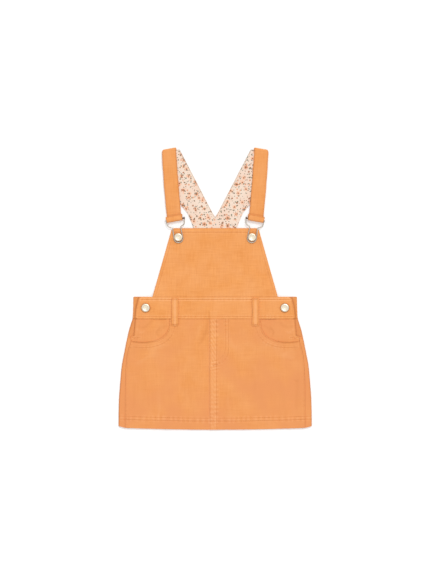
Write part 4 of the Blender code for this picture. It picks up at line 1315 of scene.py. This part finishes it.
class OVERALL_OT_back(bpy.types.Operator):
    """Make the back skirt panel and the back waistband, which wrap round to the front"""

    bl_idname = "overall.back"
    bl_label = "Back panel and band"

    def execute(self, context):
        head = WAIST_FOOT + TUCK
        hem_x = np.linspace(158.5, 168.5, 8)
        strip_rows = [row_through(hem_x, hem(hem_x) + up, 0.35, 0.10, 9.5, 4.0, 4.3) for up in HEM_ROWS]

        def panel_place(u, v):
            side, share = np.sign(2.0 * u - 1.0), np.abs(2.0 * u - 1.0)
            y = mix(HEM_CENTRE, head, v)
            closed = ease(OPENING_FOOT + 4.0, OPENING_FOOT, y)
            inner = mix(STAND_SKIRT, seam(np.minimum(y, SEAM_HEAD)), closed)
            joined = ease(OPENING_FOOT, SEAM_HEAD, y)
            inner_mid = mix(STAND_MID, panel_base(seam(y), np.minimum(y, SEAM_HEAD)), joined)
            fold_mid = mix(STAND_MID, SEAM_MID, ease(-56.0, -98.0, y)) + 0.1
            fold_mid = np.maximum(fold_mid, inner_mid - 0.3)
            x, z = wrapped(share, y, TWILL, inner, fold_mid, inner_mid)
            y = y + (hem(x) - HEM_CENTRE) * (1.0 - v) ** 2
            turned = ease(0.78, 0.84, share) * ease(-60.0, -75.0, y)
            z = z + turned * (0.18 * unrest(x * 2.2, y, 6.5, 3.0 + side) + sewn(x, y, strip_rows))
            across, along = rounded_off(outline(y) - x, y - hem(x), 1.8)
            corner = CORNER_RISE * ease(156.0, 170.0, x) * ease(24.0, 4.0, y - hem(x))
            return side * (outline(y) - across), hem(x) + along + corner, z

        # Painted light on the back panel: shade and highlight along the hem's stitching, painted shade on the
        # stand above the opening's foot, and painted shade on the fold at the outline
        def panel_tone(x, y):
            half = np.abs(x)
            stand = 0.2 * ease(OPENING_FOOT, OPENING_FOOT + 4.0, y)
            return row_shade_and_highlight(half, y, strip_rows) - stand - 0.8 * hump(outline(y) - half, 1.5)

        # The grid's normal points into the wrap, and the outer side of its strips is the one that shows
        panel = lay_cloth("back_panel", lines_for(560.0, 2.0), lines_for(194.0, 1.8, ((12.0, 24.0, 0.6),)),
                          panel_place, TWILL, twill(DEEPER), "twill", ["back_skirt"], tone=panel_tone,
                          rim=SEWN_RIM, edge_shade=0.05, way=-1)

        def band_place(u, v):
            side, share = np.sign(2.0 * u - 1.0), np.abs(2.0 * u - 1.0)
            y = mix(WAIST_FOOT, WAIST_TOP, v)
            x, z = wrapped(share, y, BAND, STAND_BAND, BAND_STAND_MID, BAND_STAND_MID)
            return side * x, y, z

        # Painted shade: the whole back waistband a little darker, and darkest beside the front waistband's
        # edge
        def stand_tone(x, y):
            return -0.22 - 0.35 * hump(np.abs(x) - band_edge(y) - 0.6, 1.4)

        band = lay_cloth("back_band", lines_for(380.0, 2.0), lines_for(38.8, 1.3), band_place, BAND, twill(),
                         "twill", ["back_waistband"], tone=stand_tone, edge_shade=0.4, way=-1)
        return {"FINISHED"}


def yoke_rows(count, reach):
    """Edge pairs (inner, outer) up the back bib's right half, to a reach short of the shoulder fold.

    count is the number of them up the arm.
    """
    low = np.linspace(BACK_FLARE[0].y, BACK_FLARE[-1].y, BODY_ROWS)
    pairs = [((0.0, y), (follow(BACK_FLARE, "y", "outer_x", y), follow(BACK_FLARE, "y", "outer_y", y)))
             for y in low]
    fold_y = FOLD_CENTRE[1]
    inner_end = fold_y - reach * np.cos(FOLD_TILT) + (ARM_INNER_END + ARM_SPREAD * reach) * np.sin(FOLD_TILT)
    outer_end = fold_y - reach * np.cos(FOLD_TILT) - (ARM_OUTER_END - ARM_TAPER * reach) * np.sin(FOLD_TILT)
    inner_starts = np.linspace(low[-1], V_POINT, POINT_ROWS)[1:-1]
    outer_starts = np.linspace(BACK_FLARE[-1].outer_y, ARM_FOOT, POINT_ROWS)[1:-1]
    pairs += [((0.0, a), (arm_outer(b), b)) for a, b in zip(inner_starts, outer_starts)]
    for share in np.linspace(0.0, 1.0, count):
        inner_y, outer_y = mix(V_POINT, inner_end, share), mix(ARM_FOOT, outer_end, share)
        pairs.append(((float(v_edge(inner_y)), inner_y), (arm_outer(outer_y), outer_y)))
    return np.array([[*inner, *outer] for inner, outer in pairs])


def yoke_place(pairs, inset, height):
    """Place function of the right half between its edge pairs, set in a little from the edges."""
    last = len(pairs) - 1

    def place(u, v):
        rows = pairs[np.round(v * last).astype(int)]
        length = np.hypot(rows[..., 2] - rows[..., 0], rows[..., 3] - rows[..., 1])
        start = np.where(rows[..., 0] > 0.0, inset / length, 0.0)
        share = mix(start, 1.0 - inset / length, u)
        x, y = mix(rows[..., 0], rows[..., 2], share), mix(rows[..., 1], rows[..., 3], share)
        return x, y, height(x, y)

    return place


def lining_height(x, y):
    """Middle height of the lining: on the back bib, then over the strap's back end."""
    from_fold = (FOLD_CENTRE[0] - x) * np.sin(FOLD_TILT) + (FOLD_CENTRE[1] - y) * np.cos(FOLD_TILT)
    over_strap = ease(BACK_STRAP + 9.0, BACK_STRAP + 1.0, from_fold)
    return mix(TWILL, STRAP_WALL, over_strap) + SEAM + LINING / 2


class OVERALL_OT_back_bib(bpy.types.Operator):
    """Make the back bib and its printed lining"""

    bl_idname = "overall.back_bib"
    bl_label = "Back bib and lining"

    def execute(self, context):
        shell_pairs = yoke_rows(60, BACK_STRAP + SEAM)
        lining_pairs = yoke_rows(80, 2.0)
        u = lines_for(60.0, 2.2)

        def flat(x, y):
            return 0.0 * x + TWILL / 2

        shell = lay_cloth("back_bib_panel", u, np.linspace(0.0, 1.0, len(shell_pairs)),
                          yoke_place(shell_pairs, 0.0, flat), TWILL, twill(), "twill", ["back_bib"],
                          centre_open=True)
        join_mirror(shell)
        print_cloth = material_named("cotton_lawn_printed", printed_cotton, look().lining)

        def relief(x, y):
            edge = np.abs(np.abs(x) - v_edge(y))
            return 0.16 * unrest(x, y, 8.0, 6.0) + 0.12 * hump(edge - 2.5, 1.2) * (y > V_POINT)

        # Painted shade along the lining's rims, most along the V
        def lining_shade(x, y):
            return 0.08 + 0.42 * ease(12.0, 6.0, np.abs(x) - v_edge(y))

        lining = lay_cloth("back_lining_panel", u, np.linspace(0.0, 1.0, len(lining_pairs)),
                           yoke_place(lining_pairs, -0.15, lining_height), LINING, print_cloth,
                           "lining_print", ["back_lining"], relief=relief, edge_shade=lining_shade,
                           centre_open=True)
        join_mirror(lining)
        return {"FINISHED"}


# ---------------------------------------------------------------- straps


def turn(past, radius, centre_z, way):
    """Where cloth lies that runs past the start of a half turn, up (way 1) or down (way -1)."""
    inside = past < np.pi * radius
    shift = np.where(inside, radius * np.sin(past / radius), np.pi * radius - past)
    z = np.where(inside, centre_z - way * radius * np.cos(past / radius), centre_z + way * radius)
    return shift, z


def strap_surface(side, run, off, lift):
    """Point of the strap at a run along it and off its middle, turned round bar and fold, and moved out."""
    bar = bar_centre()
    strap_dir = (np.sin(STRAP_TILT), np.cos(STRAP_TILT))
    x = FOLD_CENTRE[0] + run * strap_dir[0] + off * strap_dir[1]
    y = FOLD_CENTRE[1] + run * strap_dir[1] - off * strap_dir[0]
    z = follow(STRAP_LIE, "y", "height", y) + lift
    fold_up = (np.sin(FOLD_TILT), np.cos(FOLD_TILT))
    past = (x - FOLD_CENTRE[0]) * fold_up[0] + (y - FOLD_CENTRE[1]) * fold_up[1]
    over = past > 0.0
    shift, height = turn(past, FOLD_RADIUS, FOLD_MID, -1.0)
    x = np.where(over, x + (shift - past) * fold_up[0], x)
    y = np.where(over, y + (shift - past) * fold_up[1], y)
    z = np.where(over, height, z)
    bar_down = (-np.sin(BAR_TILT), -np.cos(BAR_TILT))
    past = (x - bar[0]) * bar_down[0] + (y - bar[1]) * bar_down[1]
    under = (past > 0.0) & ~over
    shift, height = turn(past, BAR_TURN, BAR_MID, 1.0)
    x = np.where(under, x + (shift - past) * bar_down[0], x)
    y = np.where(under, y + (shift - past) * bar_down[1], y)
    z = np.where(under, height - 0.1 * np.maximum(0.0, -shift) + lift, z)
    return side * x, y, z


def strap_runs():
    """First and last run of the strap, and the shears that keep its rows square to bar and fold."""
    bar = bar_centre()
    bar_run = (bar[0] - FOLD_CENTRE[0]) * np.sin(STRAP_TILT) + (bar[1] - FOLD_CENTRE[1]) * np.cos(STRAP_TILT)
    first = bar_run - (np.pi * BAR_TURN + TAIL) / np.cos(BAR_TILT - STRAP_TILT)
    last = (np.pi * FOLD_RADIUS + BACK_STRAP) / np.cos(FOLD_TILT - STRAP_TILT)
    return first, bar_run, last, -np.tan(BAR_TILT - STRAP_TILT), -np.tan(FOLD_TILT - STRAP_TILT)


class OVERALL_OT_straps(bpy.types.Operator):
    """Make the shoulder straps, folded at the shoulder and looped over the buckle bars"""

    bl_idname = "overall.straps"
    bl_label = "Straps"

    def execute(self, context):
        first, bar_run, last, bar_shear, fold_shear = strap_runs()
        length = last - first

        def shear(run):
            return mix(bar_shear, fold_shear, np.clip((run - bar_run) / -bar_run, 0.0, 1.0))

        def strap_lift(run, off):
            straight = ease(bar_run, bar_run + 8.0, run) * ease(0.0, -10.0, run)
            groove = -0.17 * hump(np.abs(off) - STRAP_STITCH, 0.8) * ease(last, last - 3.0, run)
            wave = 0.16 * np.sin(run / 5.2 + 1.2 * np.sin(run / 17.0)) * hump(np.abs(off) - 11.5, 3.2)
            pull = 0.20 * unrest(run, off * 1.6, 9.0, 1.0)
            end = bar_run + END_REACH
            step = 0.45 * ease(end + 0.5, end - 0.5, run) - 0.25 * hump(run - end - 0.8, 0.9)
            return (wave + pull) * straight + groove + step

        # Painted shade: a dark line along the top edge of the strap's turned end, and along its rows of
        # stitching
        def strap_tone(x, y):
            east, north = np.abs(x) - FOLD_CENTRE[0], y - FOLD_CENTRE[1]
            run = east * np.sin(STRAP_TILT) + north * np.cos(STRAP_TILT)
            off = east * np.cos(STRAP_TILT) - north * np.sin(STRAP_TILT)
            past = run - bar_shear * off - bar_run - END_REACH
            return -0.35 * hump(past - 0.5, 0.9) - 0.15 * hump(np.abs(off) - STRAP_STITCH, 0.8)

        for side, hand in SIDES:

            def place(u, v, side=side):
                run = mix(first, last, v)
                end = ease(bar_run + END_REACH + 0.5, bar_run + END_REACH - 0.4, run)
                middle = np.sin(np.pi * np.clip(run / bar_run, 0.0, 1.0))
                outward = 0.6 * end - 1.9 * hump(run - 2.7, 2.6) + 0.9 * middle
                inward = 2.1 * end - 0.4 * middle
                spread = np.where(u < 0.5, inward, outward) + 0.12 * np.sin(run / 6.0 + side)
                off = (2.0 * u - 1.0) * (STRAP_WIDTH / 2 + spread)
                return strap_surface(side, run + shear(run) * off, off, strap_lift(run, off))

            def on_strap(run, off, lift, side=side):
                x, y, z = strap_surface(side, run, off, lift)
                return np.stack([x, y, z + STRAP_WALL / 2], 1)

            strap = lay_cloth("strap_webbing_" + hand, lines_for(STRAP_WIDTH, 0.9), lines_for(length, 0.85),
                              place, STRAP_WALL, twill(), "twill", ["strap_" + hand], tone=strap_tone,
                              edge_shade=0.5, way=side)
            runs = []
            for row in (-STRAP_STITCH, STRAP_STITCH):
                run = np.linspace(bar_run + END_REACH + 1.5, -0.5, 70)
                off = row + 0 * run
                runs.append(on_strap(run + shear(run) * off, off, strap_lift(run, off)))
            off = np.linspace(-12.0, 12.0, 30)
            for inset in (2.0, 4.2):
                run = first + inset + 0 * off
                runs.append(on_strap(run + bar_shear * off, off, 0 * off))
            threads = stitch("strap_stitches_" + hand, runs)
        return {"FINISHED"}


# ---------------------------------------------------------------- metal

# Half of the buckle's wire between bar and keyhole loop: across its axis, and down from the bar
WirePoint = namedtuple("WirePoint", "across down")
BUCKLE_SIDE = (
    WirePoint(15.9, 1.2), WirePoint(15.6, 4.0), WirePoint(15.0, 7.6), WirePoint(13.3, 10.6),
    WirePoint(10.6, 12.1), WirePoint(8.3, 12.9), WirePoint(7.1, 15.0), WirePoint(7.1, 19.0),
    WirePoint(7.4, 24.0),
)
# Half the bar's length, and its radius; where its rolled eyes stand, how wide they turn, and their radius
BAR_HALF, BAR_RADIUS, EYE_OFF, EYE_TURN, EYE_RADIUS = 17.2, 1.15, 15.9, 1.55, 0.95
# Section of a button's cap: shares of its radius, and how far below its top
CapPoint = namedtuple("CapPoint", "share below")
CAP_SECTION = (
    CapPoint(0.0, 0.55), CapPoint(0.10, 0.55), CapPoint(0.16, 0.42), CapPoint(0.30, 0.40),
    CapPoint(0.46, 0.45), CapPoint(0.54, 0.36), CapPoint(0.60, 0.12), CapPoint(0.68, 0.02),
    CapPoint(0.78, 0.03), CapPoint(0.88, 0.22), CapPoint(0.96, 0.62), CapPoint(1.0, 1.15),
)


def tube(name, centres, radius, sides, closed, material, slot, nodes=()):
    """Round wire along a line of points, with rounded ends where it isn't closed."""
    centres = np.asarray(centres, float)
    if closed:
        ahead = np.roll(centres, -1, 0) - np.roll(centres, 1, 0)
    else:
        ahead = np.gradient(centres, axis=0)
    ahead /= np.linalg.norm(ahead, axis=1)[:, None]
    side = np.cross(ahead, (0.0, 0.0, 1.0))
    side /= np.maximum(1e-9, np.linalg.norm(side, axis=1))[:, None]
    up = np.cross(side, ahead)
    girth = np.full(len(centres), radius)
    if not closed:
        girth[0] = girth[-1] = radius * 0.45
        girth[1] = girth[-2] = radius * 0.88
    angle = np.linspace(0.0, 2 * np.pi, sides, endpoint=False)
    ring = (side[:, None] * np.cos(angle)[None, :, None] + up[:, None] * np.sin(angle)[None, :, None])
    points = (centres[:, None] + ring * girth[:, None, None]).reshape(-1, 3)
    faces = []
    count = len(centres)
    for i in range(count if closed else count - 1):
        for j in range(sides):
            a, b = i * sides + j, i * sides + (j + 1) % sides
            c, d = ((i + 1) % count) * sides + (j + 1) % sides, ((i + 1) % count) * sides + j
            faces.append((a, b, c, d))
    if not closed:
        faces.append(tuple(reversed(range(sides))))
        faces.append(tuple((count - 1) * sides + j for j in range(sides)))
    return write_mesh(name, points, faces, material, slot, nodes)


def buckle_point(side, across, down, rise=0.0):
    """Point of the buckle from its own axes: across, and down from the bar."""
    bar_x, bar_y = bar_centre()
    x = bar_x + across * np.cos(BAR_TILT) - down * np.sin(BAR_TILT)
    y = bar_y - across * np.sin(BAR_TILT) - down * np.cos(BAR_TILT)
    return side * x, y, float(mix(BAR_MID, KEYHOLE_MID, ease(3.0, 16.0, down))) + rise


def turned(name, profile, centre, sides, material, slot, nodes):
    """A round piece turned from (radius, height) points that run down its outer side."""
    points, faces = [], []
    for radius, height in profile[1:-1]:
        for step in range(sides):
            angle = 2 * np.pi * step / sides
            points.append((centre[0] + radius * np.cos(angle), centre[1] + radius * np.sin(angle), height))
    for ring in range(len(profile) - 3):
        for step in range(sides):
            a, b = ring * sides + step, ring * sides + (step + 1) % sides
            faces.append((a, a + sides, b + sides, b))
    head, foot = len(points), len(points) + 1
    points += [(centre[0], centre[1], profile[0][1]), (centre[0], centre[1], profile[-1][1])]
    low = (len(profile) - 3) * sides
    for step in range(sides):
        after = (step + 1) % sides
        faces.append((head, step, after))
        faces.append((foot, low + after, low + step))
    return write_mesh(name, points, faces, material, slot, nodes)


class OVERALL_OT_buckles(bpy.types.Operator):
    """Make the wire buckles with their bars"""

    bl_idname = "overall.buckles"
    bl_label = "Buckles"

    def execute(self, context):
        metal = look().metal
        nickel = material_named("steel_wire_nickel_plated", plated_metal, metal.wire, 0.38, 900.0)
        # The bar and the inner eyes are coloured dark brown as painted shade, where they lie in the strap's
        # shadow
        painted_shade_steel = material_named("steel_rod_browned", plated_metal, metal.bar, 0.45, 900.0)
        side_line = smooth_line([(point.across, point.down) for point in BUCKLE_SIDE], 0.8)
        head = np.arcsin(BUCKLE_SIDE[-1].across / KEYHOLE_RADIUS)
        angle = np.linspace(head, 2 * np.pi - head, 44)
        loop = np.stack([KEYHOLE_RADIUS * np.sin(angle),
                         BUTTON_TO_BAR + KEYHOLE_DROP - KEYHOLE_RADIUS * np.cos(angle)], 1)
        ring = np.concatenate([side_line, loop[1:-1], side_line[::-1] * np.array([-1.0, 1.0])])
        for side, hand in SIDES:
            eye = [buckle_point(side, a, d) for a, d in ring]
            tube("buckle_wire_" + hand, eye, WIRE_SHOWN, metal.sides, False, nickel, "buckle_wire",
                 ["buckle_" + hand])
            across = np.linspace(-BAR_HALF, BAR_HALF, 40)
            bar = [buckle_point(side, a, 0.0) for a in across]
            tube("buckle_bar_" + hand, bar, BAR_RADIUS, metal.sides, False, painted_shade_steel, "buckle_wire")
            for end in (-1, 1):
                spin = np.linspace(0.0, 2 * np.pi, 25)[:-1]
                curl = [buckle_point(side, end * EYE_OFF, EYE_TURN * np.cos(at), EYE_TURN * np.sin(at))
                        for at in spin]
                name = "buckle_eye_" + hand + ("_outer" if end > 0 else "_inner")
                # The inner eye takes the painted shade steel, the outer one the plain wire
                tube(name, curl, EYE_RADIUS, metal.sides, True, nickel if end > 0 else painted_shade_steel, "buckle_wire")
        return {"FINISHED"}


def cap_profile(cap, shank, seat, foot):
    """Outline of a tack button: a dished cap with a rolled rim, then the shank."""
    top = foot + 2.5
    under = [(cap * 0.985, foot + 0.75), (cap * 0.93, foot + 0.25), (cap * 0.84, foot), (shank * 1.25, foot),
             (shank * 1.05, foot - 0.35), (shank, seat), (0.0, seat)]
    return [(cap * point.share, top - point.below) for point in CAP_SECTION] + under


class OVERALL_OT_buttons(bpy.types.Operator):
    """Make the four tack buttons"""

    bl_idname = "overall.buttons"
    bl_label = "Tack buttons"

    def execute(self, context):
        metal = look().metal
        satin = material_named("brass_cap_satin_nickel", plated_metal, metal.button, 0.30, 1500.0)
        bib_seat = float(bib_mid(*map(np.array, BIB_BUTTON))) + BIB_WALL / 2 + SEAM
        band_seat = BAND_STAND_MID + BAND / 2 + SEAM
        for side, hand in SIDES:
            turned("bib_tack_button_" + hand,
                   cap_profile(BIB_CAP, 3.4, bib_seat, KEYHOLE_MID + WIRE_RADIUS + SEAM),
                   (side * BIB_BUTTON[0], BIB_BUTTON[1]), 4 * metal.sides, satin, "tack_button",
                   ["bib_button_" + hand])
            turned("side_tack_button_" + hand,
                   cap_profile(SIDE_CAP, 2.5, band_seat, BAND_SIDE_MID + BAND / 2 + SEAM),
                   (side * SIDE_BUTTON[0], SIDE_BUTTON[1]), 4 * metal.sides, satin, "tack_button",
                   ["side_button_" + hand])
        return {"FINISHED"}


# ---------------------------------------------------------------- stage


class OVERALL_OT_stage(bpy.types.Operator):
    """Make the pale floor, the soft light and the camera straight above"""

    bl_idname = "overall.stage"
    bl_label = "Stage"

    def execute(self, context):
        stage = look().stage
        scene = context.scene
        # The photograph is 573 pixels high, taken at 1.75 mm to the pixel; its middle looks at this point
        frame_height, look_x, look_y = 573 * 1.75 * MM, -0.0003, 0.0042
        mesh = bpy.data.meshes.new("floor")
        reach, level = 3.0, -0.0004
        mesh.from_pydata([(-reach, -reach, level), (reach, -reach, level), (reach, reach, level),
                          (-reach, reach, level)], [], [(0, 1, 2, 3)])
        floor = bpy.data.objects.new("floor", mesh)
        material, tree, shader = new_material("acrylic_sheet_opal")
        where = add_node(tree, "TexCoord").outputs["Object"]
        tooth = add_node(tree, "TexNoise", {"Vector": where, "Scale": 900.0, "Detail": 2.0})
        bump = add_node(tree, "Bump", {"Height": tooth.outputs["Fac"], "Strength": 0.05,
                                      "Distance": 0.00005})
        tree.links.new(bump.outputs["Normal"], shader.inputs["Normal"])
        # Lit faintly from below, as a light table is, so that shadows on it stay thin
        shader.inputs["Emission Color"].default_value = (1.0, 1.0, 1.0, 1.0)
        shader.inputs["Emission Strength"].default_value = stage.glow
        shader.inputs["Base Color"].default_value = linear(stage.floor)
        shader.inputs["Roughness"].default_value = 0.9
        shader.inputs["Specular IOR Level"].default_value = 0.1
        mesh.materials.append(material)
        scene.collection.objects.link(floor)

        world = bpy.data.worlds.new("studio")
        world.use_nodes = True
        ray = add_node(world.node_tree, "TexCoord").outputs["Generated"]
        up = add_node(world.node_tree, "SeparateXYZ", {"Vector": ray}).outputs["Z"]
        sky = add_node(world.node_tree, "MapRange", {"Value": up, "To Min": stage.horizon,
                                                    "To Max": stage.zenith}).outputs["Result"]
        world.node_tree.links.new(sky, world.node_tree.nodes["Background"].inputs["Strength"])
        world.node_tree.nodes["Background"].inputs["Color"].default_value = (1.0, 1.0, 1.0, 1.0)
        scene.world = world

        lamp = bpy.data.lights.new("window", "SUN")
        lamp.energy = stage.key
        lamp.angle = np.radians(25.0)
        key = bpy.data.objects.new("window", lamp)
        key.rotation_euler = Vector(stage.key_from).to_track_quat("Z", "Y").to_euler()
        scene.collection.objects.link(key)

        lens = bpy.data.cameras.new("camera")
        lens.sensor_fit = "VERTICAL"
        lens.sensor_height = 36.0
        lens.lens = lens.sensor_height * stage.height / frame_height
        lens.clip_end = 50.0
        camera = bpy.data.objects.new("camera", lens)
        camera.location = (look_x, look_y, stage.height)
        scene.collection.objects.link(camera)
        scene.camera = camera
        scene.view_settings.view_transform = "Standard"
        return {"FINISHED"}


class OVERALL_PT_panel(bpy.types.Panel):
    """Lists the settings and the makers of the overall skirt"""

    bl_label = "Overall skirt"
    bl_idname = "OVERALL_PT_panel"
    bl_space_type = "VIEW_3D"
    bl_region_type = "UI"
    bl_category = "Overall skirt"

    def draw(self, context):
        settings = context.scene.overall_skirt
        for group in (settings.cloth, settings.thread, settings.lining, settings.metal, settings.stage):
            box = self.layout.box()
            for name in group.__annotations__:
                box.prop(group, name)
        for maker in MAKERS:
            self.layout.operator(maker.bl_idname)


GROUPS = (ClothSettings, ThreadSettings, PrintSettings, MetalSettings, StageSettings, SkirtSettings)
MAKERS = (OVERALL_OT_back, OVERALL_OT_back_bib, OVERALL_OT_pocket_facings, OVERALL_OT_skirt_front,
          OVERALL_OT_waistband, OVERALL_OT_belt_loops, OVERALL_OT_bib, OVERALL_OT_straps, OVERALL_OT_buckles,
          OVERALL_OT_buttons, OVERALL_OT_stage)


def register():
    """Register the settings, the makers and the panel."""
    for item in (*GROUPS, *MAKERS, OVERALL_PT_panel):
        bpy.utils.register_class(item)
    bpy.types.Scene.overall_skirt = PointerProperty(type=SkirtSettings)


def unregister():
    """Take them out again."""
    del bpy.types.Scene.overall_skirt
    for item in reversed((*GROUPS, *MAKERS, OVERALL_PT_panel)):
        bpy.utils.unregister_class(item)


def main():
    """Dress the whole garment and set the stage."""
    register()
    for maker in MAKERS:
        group, name = maker.bl_idname.split(".")
        if getattr(getattr(bpy.ops, group), name)() != {"FINISHED"}:
            raise RuntimeError(maker.bl_label + " could not be made")


if __name__ == "__main__":
    main()
